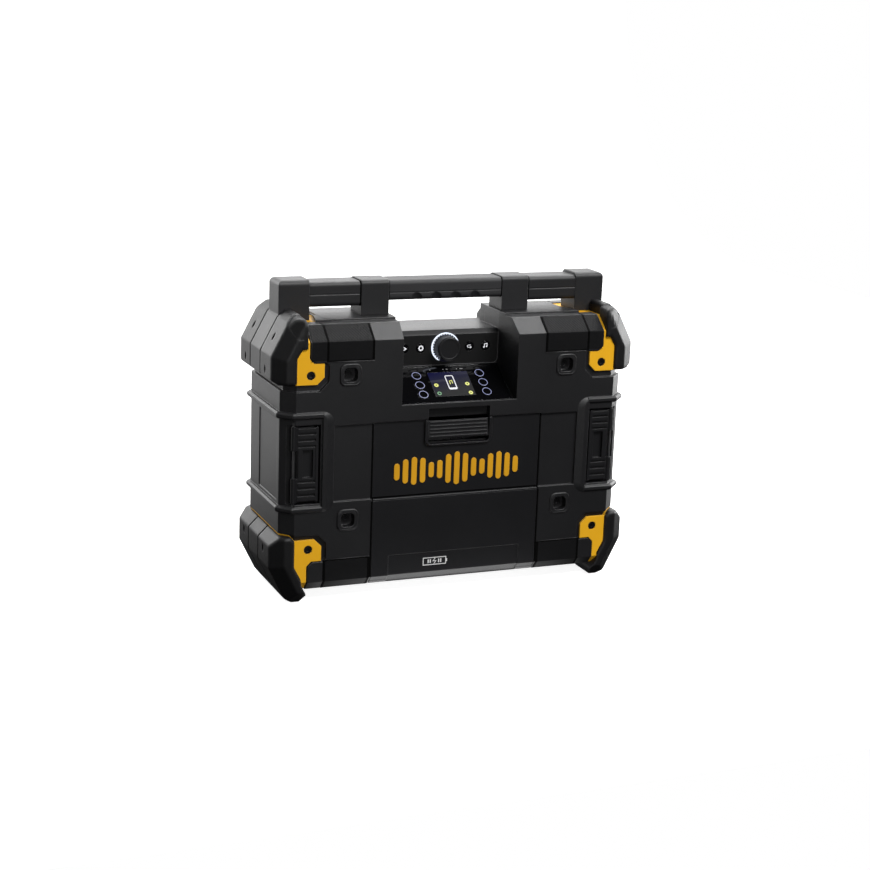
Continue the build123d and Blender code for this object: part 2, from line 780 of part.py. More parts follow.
channel_half = rib_half + rib_gap
upper_outer = upper_form(0)
upper_outer = fillet(upper_outer.edges(), guard_round)
lower_outer = lower_form(0)
lower_outer = fillet(
    lower_outer.edges().filter_by(lambda edge: edge.center().X > crown_half + 2.5), guard_round
)
upper_body = upper_outer - bracket_face
middle = block(0, far, -channel_half, channel_half, -far, far)
rib = block(0, far, -rib_half, rib_half, -far, far)
upper_web = upper_form(rib_depth) - bracket_face
slope_mid = ((slope_top[0] + slope_foot[0]) / 2, (slope_top[1] + slope_foot[1]) / 2)
slope_length = math.dist(slope_top, slope_foot)
outward_x = (slope_top[1] - slope_foot[1]) / slope_length
outward_z = (slope_foot[0] - slope_top[0]) / slope_length
hole_plane = Plane(
    (slope_mid[0] - 3 * outward_x, vent_y, slope_mid[1] - 3 * outward_z), x_dir=(-outward_z, 0, outward_x),
    z_dir=(outward_x, 0, outward_z),
)
slope_hole = extrude(hole_plane * SlotOverall(vent_length, vent_width), amount=20)
guard = upper_body - middle + (upper_web & middle)
guard -= guard_holes([upper_skirt_z + 14])
guard -= slope_hole + turned_back(slope_hole)
mirrored_pair("upper_guard", guard)

lower_body = lower_outer - bracket_face
lower_web = lower_form(rib_depth / 2)
grooves = middle - rib - lower_web
mirrored_pair("lower_guard", lower_body - grooves - guard_holes([lower_crown_z - 19]))

# ---------------------------------------------------------------- Handle
bar_mid_z = (bar_top_z + bar_bottom_z) / 2


def bar_section(x, bottom):
    """The rounded section of bars and grip at x."""
    plane = Plane((x, 0, (bar_top_z + bottom) / 2), x_dir=(0, 1, 0), z_dir=(1, 0, 0))
    return plane * RectangleRounded(bar_depth, bar_top_z - bottom, bar_round)


def tube_bore(x0, x1):
    return rod((x0, 0, bar_mid_z), (1, 0, 0), tube_radius, x1 - x0)


def parting_line(x0, x1):
    """The fine line where the two halves of a moulding meet, front and back."""
    line = block(x0, x1, -far, -bar_depth / 2 + 0.5, bar_mid_z - 0.5, bar_mid_z + 0.5)
    return line + turned_back(line)


post_outer_x = grip_half + post_width
sleeve = extrude(bar_section(post_outer_x, bar_bottom_z), amount=cap_inner_x - post_outer_x)
sleeve -= tube_bore(post_outer_x, cap_inner_x) + parting_line(post_outer_x, cap_inner_x)
mirrored_pair("bar_sleeve", sleeve)

grip = extrude(bar_section(-grip_half, bar_bottom_z + grip_lift), amount=2 * grip_half)
steep = math.radians(30)
edge_offset = groove_radius - groove_bite
edge_y = -bar_depth / 2 - edge_offset * math.cos(steep)
edge_z = bar_bottom_z + grip_lift - edge_offset * math.sin(steep)
down = (0, math.sin(steep), -math.cos(steep))
for place in range(4):
    x = (place - 1.5) * groove_pitch
    start = (x, edge_y - 40 * down[1], edge_z - 40 * down[2])
    grip -= rod(start, down, groove_radius, 80)
grip -= tube_bore(-grip_half, grip_half) + parting_line(-grip_half, grip_half)
save("grip", grip)

deck_top_z = top_z + deck_height
post = block(grip_half, post_outer_x, -rib_half, rib_half, deck_top_z, bar_top_z + post_rise)
post = fillet(post.edges().filter_by(Axis.X).group_by(Axis.Z)[-1], bar_round)
post -= tube_bore(grip_half, post_outer_x)
mirrored_pair("post", post)

cap_block = block(cap_inner_x, cap_outer_x, -rib_half, rib_half, top_z - seat_depth, cap_top_z)
cap_block = fillet(cap_block.edges().group_by(Axis.Z)[-1] - cap_block.edges().group_by(Axis.X)[0], cap_round)
cap = (upper_outer & rib) + cap_block - upper_form(rib_depth) - bracket_face
cap -= tube_bore(cap_inner_x, cap_outer_x - 8)
mirrored_pair("end_cap", cap)

tube = rod((cap_outer_x - 8, 0, bar_mid_z), (-1, 0, 0), tube_radius, 2 * (cap_outer_x - 8))
tube -= rod((cap_outer_x - 8, 0, bar_mid_z), (-1, 0, 0), tube_radius - tube_wall, 2 * (cap_outer_x - 8))
save("handle_tube", tube)


# ---------------------------------------------------------------- Speakers
def grille(region, front_low, front_high, chamfer_z, slots):
    """A grille bent over the chamfer: level slots on the front, leaning ones on the chamfer."""
    half = (grille_out_x - grille_in_x) / 2 - grille_rim
    cuts = Part()
    rows = int((front_high - front_low) / slot_pitch)
    for row in range(rows):
        z = front_low + (row + 0.5) * (front_high - front_low) / rows
        cuts += Pos(grille_mid_x, front_y, z) * Box(2 * half, 4 * grille_wall, slot_width)
    lean = math.tan(math.radians(slot_lean))
    length = 9.0
    count = int((2 * half - length * lean) / slot_pitch)
    for number in range(count):
        x = grille_mid_x + (number - (count - 1) / 2) * slot_pitch
        cuts += Pos(x, front_y, chamfer_z) * Rot(0, slot_lean, 0) * Box(slot_width, slots, length)
    return (region & whole_case) - case_form(grille_wall) - cuts


upper_region = grille_region(upper_grille_z, far, 0)
lower_region = grille_region(-far, lower_grille_z, 0)
mirrored_pair("upper_grille", grille(
    upper_region, upper_grille_z + grille_rim, top_z - top_chamfer_drop - 2,
    top_z - top_chamfer_drop / 2, 2 * top_chamfer_depth,
))
mirrored_pair("lower_grille", grille(
    lower_region, base_z + base_chamfer_rise + 3, lower_grille_z - grille_rim,
    base_z + base_chamfer_rise / 2, 2 * base_chamfer_depth,
))


def driver():
    """A speaker driver, turned about its axis: magnet, basket, flange, cone and dust cap."""
    r = driver_radius
    profile = Polygon(
        (0, -driver_depth), (magnet_radius, -driver_depth), (magnet_radius, -driver_depth + 9),
        (magnet_radius + 1.5, -driver_depth + 9), (r - 3, -2), (r, -2), (r, 0), (r - 3.5, 0),
        (r - 5, -0.6), (7, -8), (5, -6.4), (0, -5.2),
    )
    return revolve(Plane.XZ * profile, axis=Axis.Z)


for level, (z, lift) in zip(("upper", "lower"), driver_places):
    mirrored_pair(level + "_driver", driver_plane(z, lift) * driver())

# ---------------------------------------------------------------- Control fascia, keys, display
fascia = along_x(
    panel_line(0) + panel_line(fascia_wall)[::-1], -gap_half_back + 0.3, gap_half_back - 0.3
)
key_places = [("outer", key_outer_x), ("inner", key_inner_x)]
key_hole = Cylinder(key_radius + key_play, 4 * fascia_wall)
preset_hole = Cylinder(preset_radius + key_play, 4 * fascia_wall)
for name, x in key_places:
    fascia -= upright * Pos(x, 0, 0) * key_hole + upright * Pos(-x, 0, 0) * key_hole
preset_steps = [preset_first + number * preset_pitch for number in range(3)]
for step in preset_steps:
    fascia -= slant * Pos(preset_x, step, 0) * preset_hole + slant * Pos(-preset_x, step, 0) * preset_hole
fascia -= upright * Cylinder(bushing_radius + 0.3, 4 * fascia_wall)
display_height = display_high - display_low
display_mid = (display_high + display_low) / 2
fascia -= slant * Pos(0, display_mid, 0) * Box(2 * display_half + 0.2, display_height + 0.2, 4 * fascia_wall)
save("control_fascia", fascia)

window = slant * Pos(0, display_mid, -fascia_wall / 2) * Box(2 * display_half, display_height, fascia_wall)
save("display_window", window)


def key(radius):
    """A round key with the flange that holds it behind the fascia; its face is at key_proud."""
    cap = Pos(0, 0, key_proud - key_length / 2) * Cylinder(radius, key_length)
    cap = fillet(cap.edges().group_by(Axis.Z)[-1], 0.4)
    flange_z = -fascia_wall - 0.3 - (key_length - key_proud - fascia_wall - 0.3) / 2
    return cap + Pos(0, 0, flange_z) * Cylinder(radius + key_flange, key_length - key_proud - fascia_wall - 0.3)


for name, x in key_places:
    save("right_" + name + "_key", upright * Pos(x, 0, 0) * key(key_radius))
    save("left_" + name + "_key", upright * Pos(-x, 0, 0) * key(key_radius))
for number, step in enumerate(preset_steps):
    save(f"right_preset_key_{number + 1}", slant * Pos(preset_x, step, 0) * key(preset_radius))
    save(f"left_preset_key_{number + 1}", slant * Pos(-preset_x, step, 0) * key(preset_radius))

ring = Pos(0, 0, light_ring_height / 2) * Cylinder(light_ring_radius, light_ring_height)
ring -= Cylinder(knob_radius + 0.6, 4 * light_ring_height)
save("light_ring", upright * ring)

board_depth = fascia_wall + wall
switch_height = board_depth - (key_length - key_proud) - press_travel - 0.3


def switch(plane, x, y):
    """The dome of a key's switch on its board."""
    return plane * Pos(x, y, -board_depth + switch_height / 2) * Cylinder(2.5, switch_height)


bend = panel_line(board_depth)[1]
upright_foot = bend[1] + 4 - dial_z
upright_head = block_top_z - block_bevel - 3 - dial_z
upright_board = upright * Pos(0, (upright_foot + upright_head) / 2, -board_depth - board_wall / 2) * Box(
    2 * (gap_half_back - 4), upright_head - upright_foot, board_wall
)
upright_board -= upright * Cylinder(bushing_radius + 0.3, 60)
for name, x in key_places:
    upright_board += switch(upright, x, 0) + switch(upright, -x, 0)
board_foot = 7.0
slant_board = slant * Pos(0, (board_foot + panel_length - 4) / 2, -board_depth - board_wall / 2) * Box(
    2 * (gap_half_back - 4), panel_length - 4 - board_foot, board_wall
)
slant_board += slant * Pos(0, display_mid, -(board_depth + fascia_wall) / 2) * Box(
    2 * display_half - 4, display_height - 4, board_depth - fascia_wall
)
for step in preset_steps:
    slant_board += switch(slant, preset_x, step) + switch(slant, -preset_x, step)
save("control_board", group([upright_board, slant_board]))

# Dial: every piece is turned about the axis of the upright panel.
knob_foot = knob_lift
knob_face = knob_foot + knob_length
bushing_top = 3.2
encoder_top = -board_depth - board_wall
encoder_back = encoder_top - 8.5
rotor_top = encoder_top - 2.5
rotor_back = rotor_top - 3.6
knob = Pos(0, 0, (knob_foot + knob_face) / 2) * Cylinder(knob_radius, knob_length)
knob = chamfer(knob.edges().group_by(Axis.Z)[-1], 1.2)
knob -= Pos(0, 0, knob_face) * Cylinder(knob_radius - 3, 0.8)
knob -= Pos(0, 0, knob_foot + 1.6) * Cylinder(bushing_radius + 1.5, 3.4)
knob -= Pos(0, 0, knob_foot + 4) * Cylinder(shaft_radius, 12)
save("volume_knob", upright * knob)
shaft_top = knob_foot + 10
shaft_back = encoder_back + 1.5
shaft = Pos(0, 0, (shaft_top + shaft_back) / 2) * Cylinder(shaft_radius, shaft_top - shaft_back)
save("encoder_shaft", upright * shaft)
rotor = Pos(0, 0, (rotor_top + rotor_back) / 2) * Cylinder(rotor_radius, rotor_top - rotor_back)
rotor -= Pos(0, 0, rotor_back) * Cylinder(shaft_radius + running, 20)
save("encoder_rotor", upright * rotor)
encoder = Pos(0, 0, (encoder_top + encoder_back) / 2) * Box(16, 16, encoder_top - encoder_back)
encoder += Pos(0, 0, (encoder_top + bushing_top) / 2) * Cylinder(bushing_radius, bushing_top - encoder_top)
encoder -= Pos(0, 0, 0) * Cylinder(shaft_radius + running, 80)
encoder -= Pos(0, 0, (rotor_top + rotor_back) / 2) * Cylinder(
    rotor_radius + running, rotor_top - rotor_back + 0.4
)
save("encoder_body", upright * encoder)


# ---------------------------------------------------------------- Front door
door_back = front_y + band_depth + door_wall
slot_half = tab_half + tab_side_gap


def door_ribs():
    """Stiffening ribs on the inside of the door."""
    back = door_back + door_rib_height
    outer = bay_half - 5
    low, high = bay_low_z + 8, bay_high_z - 4
    ribs = Part()
    for number in range(7):
        x = outer * (number / 3 - 1)
        ribs += block(x - door_rib / 2, x + door_rib / 2, door_back - 0.5, back, low, high)
    for z in (low + 1, (low + high) / 2, high - 1):
        ribs += block(-outer, outer, door_back - 0.5, back, z - door_rib / 2, z + door_rib / 2)
    return ribs


def door():
    """The door: skin, hinge barrel, stiffening ribs, latch rim and sunk label field."""
    band = front_y + band_depth
    skin = along_x(
        [
            (band, door_top_z), (door_back, door_top_z), (door_back, hinge_z), (hinge_y, hinge_z),
            (hinge_y, base_z), (front_y + base_chamfer_depth, base_z), (front_y, base_z + base_chamfer_rise),
            (front_y, band_low_z - band_depth), (band, band_low_z),
        ],
        -door_half, door_half,
    )
    skin += rod((-door_half, hinge_y, hinge_z), (1, 0, 0), barrel_radius, 2 * door_half) + door_ribs()
    rim_plane = Plane((0, door_back, door_top_z), x_dir=(1, 0, 0), z_dir=(0, -1, 0))
    rim_height = door_top_z - rim_low_z
    outer = RectangleRounded(2 * (slot_half + rim_width), 2 * rim_height, rim_round)
    inner = RectangleRounded(2 * slot_half, 2 * (rim_height - rim_width), rim_round - rim_width)
    rim = extrude(rim_plane * outer, amount=door_back - front_y + 0.5)
    rim = fillet(rim.edges().group_by(Axis.Y)[0], 1.5)
    skin += rim & block(-far, far, -far, far, -far, door_top_z)
    skin -= extrude(Pos(0, -pocket_wall, 0) * rim_plane * inner, amount=far)
    skin -= block(-stem_half - 0.4, stem_half + 0.4, -far, far, tab_low_z + 0.8, tab_high_z - 4)
    skin += block(-7, 7, door_back - 0.5, door_back + 3, tab_low_z - 4, tab_low_z - 2)
    label = block(-label_half, label_half, -far, front_y + base_chamfer_depth, -far, label_high_z)
    skin -= label - case_form(label_depth)
    for side in (-1, 1):
        skin -= rod((side * (door_half + 1), hinge_y, hinge_z), (-side, 0, 0),
                    hinge_pin_radius + pin_play, hinge_pin_length + 1)
    return skin


save("front_door", door())
pin_start = door_half + door_gap + hinge_pin_length / 2 - 0.6
pin = rod((pin_start, hinge_y, hinge_z), (-1, 0, 0), hinge_pin_radius, hinge_pin_length)
save("door_hinge_pins", group([pin, flipped(pin)]))


def latch_tab():
    """The sliding tab: ribbed front plate, stem through the door, cross bar and two hooks."""
    back = door_back - pocket_wall - 0.3
    face_low, face_high = front_y - 0.1, front_y + 2.4
    plate = along_x(
        [(back, tab_high_z), (back, tab_low_z), (face_low, tab_low_z), (face_high, tab_high_z)],
        -tab_half, tab_half,
    )
    pitch = tab_height / tab_ribs
    for number in range(tab_ribs):
        z = tab_low_z + (number + 0.5) * pitch
        y = face_low + (z - tab_low_z) / tab_height * (face_high - face_low)
        plate += block(-tab_half + 2, tab_half - 2, y - 0.9, y + 1, z - 0.8, z + 0.8)
    bar_y = door_back + 0.35
    bar_low_z = tab_low_z + 5
    stem = block(-stem_half, stem_half, back - 0.5, bar_y + 0.5, bar_low_z, tab_high_z - 4.4)
    bar = block(-hook_out_x, hook_out_x, bar_y, bar_y + hook_plate, bar_low_z, bar_low_z + 7)
    hook = block(hook_in_x, hook_out_x, bar_y, bar_y + hook_plate, bar_low_z, tab_hook_top_z)
    return plate + stem + bar + both_sides(hook)


save("door_latch_tab", latch_tab())

# The spring of the tab is a strip folded to and fro between a shelf of the door and the tab's stem.
fold_low = tab_low_z - 2
fold_high = tab_low_z + 5
folds = 4
strip = 0.5
step = (fold_high - fold_low - strip) / folds
path = [(-5 if number % 2 else 5, fold_low + strip / 2 + number * step) for number in range(folds + 1)]
spring = Part()
for (xa, za), (xb, zb) in zip(path, path[1:]):
    lean = math.degrees(math.atan2(zb - za, xb - xa))
    strand = Box(math.hypot(xb - xa, zb - za) + strip, 2.0, strip)
    spring += Pos((xa + xb) / 2, door_back + 1.6, (za + zb) / 2) * Rot(0, -lean, 0) * strand
spring &= block(-6, 6, -far, far, fold_low, fold_high)
save("latch_spring", spring)


# ---------------------------------------------------------------- Compartment
def liner():
    """The compartment's liner: a tray open to the front, with a flange on the door frame."""
    outer = door_half + frame_width
    flange = block(-outer, outer, frame_y, frame_y + flange_wall, flange_step_z, flange_top_z)
    flange += block(
        -door_half, door_half, frame_y, frame_y + flange_wall, bay_low_z - bay_wall, flange_step_z
    )
    tray = block(
        -bay_half - bay_wall, bay_half + bay_wall, frame_y, bay_back_y + bay_wall,
        bay_low_z - bay_wall, bay_high_z + bay_wall,
    )
    feet = Part()
    for z in (bay_low_z + 34, bay_high_z - 9):
        feet += rod((bay_half - 16, bay_back_y, z), (0, 1, 0), foot_radius, bay_wall + liner_foot)
    room = block(-bay_half, bay_half, -far, bay_back_y, bay_low_z, bay_high_z)
    return flange + tray + both_sides(feet) - room


save("compartment_liner", liner())

seal_low = bay_low_z - bay_wall
seal = block(
    -bay_half - seal_width, bay_half + seal_width, door_back + seal_gap, frame_y, seal_low,
    bay_high_z + seal_width,
)
seal -= block(-bay_half - 0.5, bay_half + 0.5, -far, far, seal_low + seal_width, bay_high_z + 0.5)
save("door_seal", seal)


def dock():
    """The charger's dock: a back plate, two guide rails with lips and five contacts."""
    high = dock_low_z + dock_height
    plate = block(-dock_half, dock_half, bay_back_y - dock_wall, bay_back_y, dock_low_z, high)
    front = bay_back_y - dock_rail_depth
    rail = block(dock_half - dock_rail, dock_half, front, bay_back_y - dock_wall + 1, dock_low_z, high)
    lip = block(dock_half - dock_rail - dock_lip + 1, dock_half, front, front + 4, dock_low_z, high)
    contacts = Part()
    for number in range(5):
        x = 8 * (number - 2)
        contacts += block(x - 0.6, x + 0.6, bay_back_y - 14, bay_back_y - dock_wall + 1,
                          contact_low_z, contact_high_z)
    return Pos(dock_x, 0, 0) * (plate + both_sides(rail + lip) + contacts)


save("charger_dock", dock())

left, right, low, high = socket_block
sockets = block(left, right, bay_back_y - 6, bay_back_y, low, high)
left, right, low, high = data_hole
sockets -= block(left, right, -far, bay_back_y - 1, low, high)
sockets -= rod((audio_hole_x, bay_back_y - 7, (low + high) / 2), (0, 1, 0), audio_hole_radius, 6)
save("media_sockets", sockets)

# ---------------------------------------------------------------- Electrics at the back
board_y = bay_back_y + bay_wall + liner_foot
board_low, board_high = bay_low_z + 19, bay_high_z + 6
board_half = bay_half - 6
main_board = block(-board_half, board_half, board_y, board_y + board_wall, board_low, board_high)
main_board += block(-60, -30, board_y, board_y + 8, board_low + 35, board_low + 65)
main_board += block(10, 60, board_y, board_y + 5, board_low + 15, board_low + 40)
for x in (-20, 0, 20):
    main_board += rod((x, board_y, board_high - 30), (0, 1, 0), 6, 12)
save("main_board", main_board)

supply_front = seam_y + 6
supply_top = supply_base_z + supply_height
supply = block(-supply_half, supply_half, supply_front, half_depth - wall, supply_base_z, supply_top)
fin_pitch = 2 * (supply_half - 5) / supply_fins
for number in range(supply_fins):
    x = 5 - supply_half + fin_pitch * (number + 0.33)
    supply -= block(x, x + fin_pitch / 3, supply_front - 1, supply_front + 2, supply_base_z + 6, supply_top - 6)
save("power_supply", Pos(supply_x, 0, 0) * supply)

inlet = block(
    inlet_x - inlet_width / 2, inlet_x + inlet_width / 2, half_depth - inlet_depth, half_depth,
    inlet_z - inlet_height / 2, inlet_z + inlet_height / 2,
)
inlet_plane = Plane((inlet_x, half_depth, inlet_z), x_dir=(-1, 0, 0), z_dir=(0, 1, 0))
inlet -= extrude(inlet_plane * SlotOverall(18, 10.5), amount=5 - inlet_depth)
for side in (-1, 1):
    inlet += rod((inlet_x + side * 4.3, half_depth - inlet_depth + 4, inlet_z), (0, 1, 0), 1.2, inlet_depth - 7)
save("mains_inlet", inlet)


# ---------------------------------------------------------------- Side latches
def side_latch():
    """A ribbed lever with two knuckles on its upright pin and a pocket in its middle."""
    face = front_y + 1.2
    back = latch_floor_y - 0.6
    inner = latch_inner_x + 2
    low = latch_low_z + latch_play
    high = latch_high_z - latch_play
    plate = block(inner, latch_pin_x, face + 2, back - 2, low + 2, high - 2)
    for z0, z1 in ((low + 2, latch_pocket_low_z - 4), (latch_pocket_high_z + 4, high - 2)):
        pitch = (z1 - z0) / 3
        for number in range(3):
            z = z0 + (number + 0.5) * pitch
            plate += block(inner + 1, latch_pin_x - 4.5, face, face + 3, z - pitch * 0.3, z + pitch * 0.3)
    plate += block(inner, inner + 3, face, face + 3, low + 2, high - 2)
    plate += block(
        inner + 3, latch_pin_x - 5, face + 0.6, face + 3, latch_pocket_low_z - 3, latch_pocket_high_z + 3
    )
    plate -= block(
        inner + 6, latch_pin_x - 10, -far, face + 4.4, latch_pocket_low_z, latch_pocket_high_z
    )
    plate -= rod((latch_pin_x, latch_pin_y, low - 1), (0, 0, 1), knuckle_radius + 0.6, high - low + 2)
    knuckles = Part()
    for z0, z1 in ((low + 1, latch_pocket_low_z), (latch_pocket_high_z, high - 1)):
        knuckles += rod((latch_pin_x, latch_pin_y, z0), (0, 0, 1), knuckle_radius, z1 - z0)
        knuckles += block(
            latch_pin_x - knuckle_radius - 2, latch_pin_x, latch_pin_y - 1.4, latch_pin_y + 2.6,
            max(z0, low + 2), min(z1, high - 2),
        )
    knuckles -= rod((latch_pin_x, latch_pin_y, low - 1), (0, 0, 1), latch_pin_radius + running, high - low + 2)
    return plate + knuckles


mirrored_pair("latch", side_latch())
save("latch_pins", group([latch_pin(), flipped(latch_pin())]))
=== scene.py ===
import math

import bpy
import numpy as np
from mathutils import Matrix


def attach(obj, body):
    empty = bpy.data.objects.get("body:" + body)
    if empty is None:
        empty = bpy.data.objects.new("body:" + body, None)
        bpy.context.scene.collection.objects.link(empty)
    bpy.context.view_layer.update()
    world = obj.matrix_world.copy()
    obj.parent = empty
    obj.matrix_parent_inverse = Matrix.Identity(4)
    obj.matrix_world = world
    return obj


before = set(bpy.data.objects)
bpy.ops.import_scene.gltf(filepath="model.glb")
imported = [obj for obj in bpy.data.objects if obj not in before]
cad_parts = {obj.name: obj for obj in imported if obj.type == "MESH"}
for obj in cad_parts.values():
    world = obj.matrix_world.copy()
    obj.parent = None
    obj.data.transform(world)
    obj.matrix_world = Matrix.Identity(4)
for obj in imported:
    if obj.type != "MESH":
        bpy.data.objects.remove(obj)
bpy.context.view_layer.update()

# ---------------------------------------------------------------- Studio
# A wide sweep of white paper, curved up behind the radio, in a room that is plain white to the camera. To all
# other rays both are bright behind the radio, the paper also carries painted pools of light far to its right,
# beside its right foot and under its front edge, and ahead of it the paper is painted dark. Eight soft lamps stand
# round it.
SENSOR_MM, FOCAL_PX, FRAME_PX, SIGHT = 36.0, 1780.07, 870, 20.0
CAMERA_RIGHT = (0.92685712, -0.37380761, 0.03469506)
CAMERA_UP = (0.05837243, 0.23479248, 0.97029127)
CAMERA_BACK = (-0.3708484, -0.89729614, 0.23943914)
CAMERA_PLACE = (-0.77757, -1.88063, 0.67184)


def stand(thing, right, up, back, place):
    """Puts a camera or a lamp into the scene. Its own right, up and back are the columns of its matrix."""
    thing.matrix_world = Matrix([[right[i], up[i], back[i], place[i]] for i in range(3)] + [[0, 0, 0, 1]])
    bpy.context.scene.collection.objects.link(thing)


camera = bpy.data.objects.new("camera", bpy.data.cameras.new("camera"))
camera.data.sensor_width = SENSOR_MM
camera.data.lens = SENSOR_MM * FOCAL_PX / FRAME_PX
camera.data.clip_end = SIGHT
stand(camera, CAMERA_RIGHT, CAMERA_UP, CAMERA_BACK, CAMERA_PLACE)
bpy.context.scene.camera = camera
bpy.context.scene.view_settings.view_transform = "Standard"


def shade(tree, kind, settings=None, **sockets):
    """Adds a shader node. A socket's value may be a number, a colour or another node's output; a name that
    starts with an underscore gives the socket's number."""
    node = tree.nodes.new(kind)
    for name, value in (settings or {}).items():
        setattr(node, name, value)
    for name, value in sockets.items():
        key = int(name[1:]) if name[0] == "_" else name.replace("_", " ")
        if isinstance(value, bpy.types.NodeSocket):
            tree.links.new(value, node.inputs[key])
        else:
            node.inputs[key].default_value = value
    return node


def math_node(tree, operation, a, b=0.0, c=0.0, clamp=False):
    """One arithmetic step on a value that changes over the surface."""
    settings = {"operation": operation, "use_clamp": clamp}
    return shade(tree, "ShaderNodeMath", settings, _0=a, _1=b, _2=c).outputs[0]


def ramp(tree, value, start, stop, low=0.0, high=1.0, soft=False):
    """Goes from low to high while a value goes from start to stop, in a straight line or a soft S."""
    settings = {"interpolation_type": "SMOOTHSTEP" if soft else "LINEAR"}
    return shade(tree, "ShaderNodeMapRange", settings, _0=value, _1=start, _2=stop, _3=low, _4=high).outputs[0]


def spot(tree, value, middle, outer, inner, high=1.0):
    """A soft spot along one direction: full up to the inner distance from its middle, nothing past the outer."""
    away = math_node(tree, "ABSOLUTE", math_node(tree, "SUBTRACT", value, middle))
    return ramp(tree, away, outer, inner, 0.0, high, soft=True)


def object_place(tree):
    """The place of a point in the object's own metres."""
    return shade(tree, "ShaderNodeTexCoord").outputs["Object"]


def split(tree, place):
    """A place as its x, y and z."""
    return shade(tree, "ShaderNodeSeparateXYZ", _0=place).outputs


def new_material(name):
    """An empty material: its node tree and its output node."""
    material = bpy.data.materials.new(name)
    material.use_nodes = True
    material.node_tree.nodes.clear()
    output = material.node_tree.nodes.new("ShaderNodeOutputMaterial")
    return material, material.node_tree, output


def mesh_object(name, points, faces, smooth=True):
    """An object whose place is in its mesh."""
    mesh = bpy.data.meshes.new(name)
    mesh.from_pydata([tuple(p) for p in points], [], [tuple(f) for f in faces])
    mesh.validate()
    mesh.polygons.foreach_set("use_smooth", [smooth] * len(mesh.polygons))
    thing = bpy.data.objects.new(name, mesh)
    bpy.context.scene.collection.objects.link(thing)
    return thing


WHITE, PAPER_COLOUR, PAPER_GLOW = (1, 1, 1, 1), (0.6, 0.6, 0.6, 1), 0.88
paper, tree, output = new_material("paper")
x, y, z = split(tree, object_place(tree))
# Painted light on the paper, seen only in reflections and bounced light: brighter towards the back, with painted
# pools far to the right, beside the right foot and under the front edge, and painted shade in front.
level = ramp(tree, y, 0.0, 0.9, 0.03, 1.25, soft=True)
painted_glow_far_right = math_node(tree, "MULTIPLY", ramp(tree, x, 0.9, 1.4, 0.0, 1.25, soft=True),
                      ramp(tree, y, -0.3, 0.2, soft=True))
painted_glow_under_edge = math_node(tree, "MULTIPLY", spot(tree, x, 0.0, 0.19, 0.09, 1.6),
                       spot(tree, y, -0.05, 0.05, 0.03, 1.5))
painted_glow_beside_foot = math_node(tree, "MULTIPLY", spot(tree, x, 0.4, 0.18, 0.08, 1.3), spot(tree, y, 0.18, 0.18, 0.08))
for painted_pool in (painted_glow_far_right, painted_glow_under_edge, painted_glow_beside_foot):
    level = math_node(tree, "MAXIMUM", level, painted_pool)
painted_glow = shade(tree, "ShaderNodeEmission", Color=WHITE, Strength=level)
cloth = shade(tree, "ShaderNodeBsdfDiffuse", Color=PAPER_COLOUR)
glow = shade(tree, "ShaderNodeEmission", Color=WHITE, Strength=PAPER_GLOW)
seen = shade(tree, "ShaderNodeAddShader", _0=cloth.outputs[0], _1=glow.outputs[0])
ray = shade(tree, "ShaderNodeLightPath")
either = shade(tree, "ShaderNodeMixShader", _0=ray.outputs["Is Camera Ray"], _1=painted_glow.outputs[0],
               _2=seen.outputs[0])
tree.links.new(either.outputs[0], output.inputs[0])

SWEEP_FRONT, SWEEP_BACK, SWEEP_HALF, SWEEP_BEND, SWEEP_TOP = -0.6, 2.2, 1.8, 0.8, 3.0
angles = np.linspace(0, math.pi / 2, 17)
line_y = np.concatenate([[SWEEP_FRONT], SWEEP_BACK + SWEEP_BEND * np.sin(angles), [SWEEP_BACK + SWEEP_BEND]])
line_z = np.concatenate([[0], SWEEP_BEND * (1 - np.cos(angles)), [SWEEP_TOP]])
sweep_points = [(x, y, z) for x in (-SWEEP_HALF, SWEEP_HALF) for y, z in zip(line_y, line_z)]
count = len(line_y)
sweep_faces = [(i, count + i, count + i + 1, i + 1) for i in range(count - 1)]
sweep = mesh_object("paper_sweep", sweep_points, sweep_faces)
sweep.data.materials.append(paper)

world = bpy.data.worlds.new("room")
bpy.context.scene.world = world
world.use_nodes = True
tree = world.node_tree
tree.nodes.clear()
bearing = split(tree, shade(tree, "ShaderNodeTexCoord").outputs["Generated"])
behind = ramp(tree, bearing["Y"], 0.12, 0.45, 0.02, 1.1, soft=True)
ray = shade(tree, "ShaderNodeLightPath")
strength = shade(tree, "ShaderNodeMix", {"data_type": "FLOAT"}, _0=ray.outputs["Is Camera Ray"], _2=behind, _3=1.0)
air = shade(tree, "ShaderNodeBackground", Color=WHITE, Strength=strength.outputs[0])
tree.links.new(air.outputs[0], tree.nodes.new("ShaderNodeOutputWorld").inputs[0])


def lamp(name, place, target, width, height, watts):
    """A soft rectangular lamp at a place, facing a target."""
    light = bpy.data.lights.new(name, "AREA")
    light.shape = "RECTANGLE"
    light.size, light.size_y, light.energy = width, height, watts
    back = np.array(place, float) - np.array(target, float)
    back /= np.linalg.norm(back)
    side = np.cross((0, 0, 1), back)
    side /= np.linalg.norm(side)
    stand(bpy.data.objects.new(name, light), side, np.cross(back, side), back, place)


lamp("high_back", (0.5, 0.86, 2.0), (0, 0, 0.25), 2.4, 0.7, 66)
lamp("high_right", (0.9, -1.6, 2.0), (0, 0, 0.2), 1.2, 0.8, 66)
lamp("low_back", (0.3, 2.3, 0.6), (0, 0, 0.3), 3.4, 1.0, 24)
lamp("right_back", (1.3, 0.5, 0.3), (0.2, 0, 0.2), 0.6, 0.6, 8)
lamp("right_side", (1.5, 0.05, 0.45), (0.2, 0, 0.3), 0.5, 0.5, 10)
lamp("left_back", (-0.75, 1.1, 0.6), (-0.22, 0, 0.3), 0.6, 0.4, 1.8)
lamp("left_fill", (-2.2, 0.5, 0.9), (0, 0, 0.2), 1.2, 1.6, 8)
lamp("front_fill", (-0.5, -2.6, 1.0), (0, 0, 0.15), 1.0, 1.0, 18)

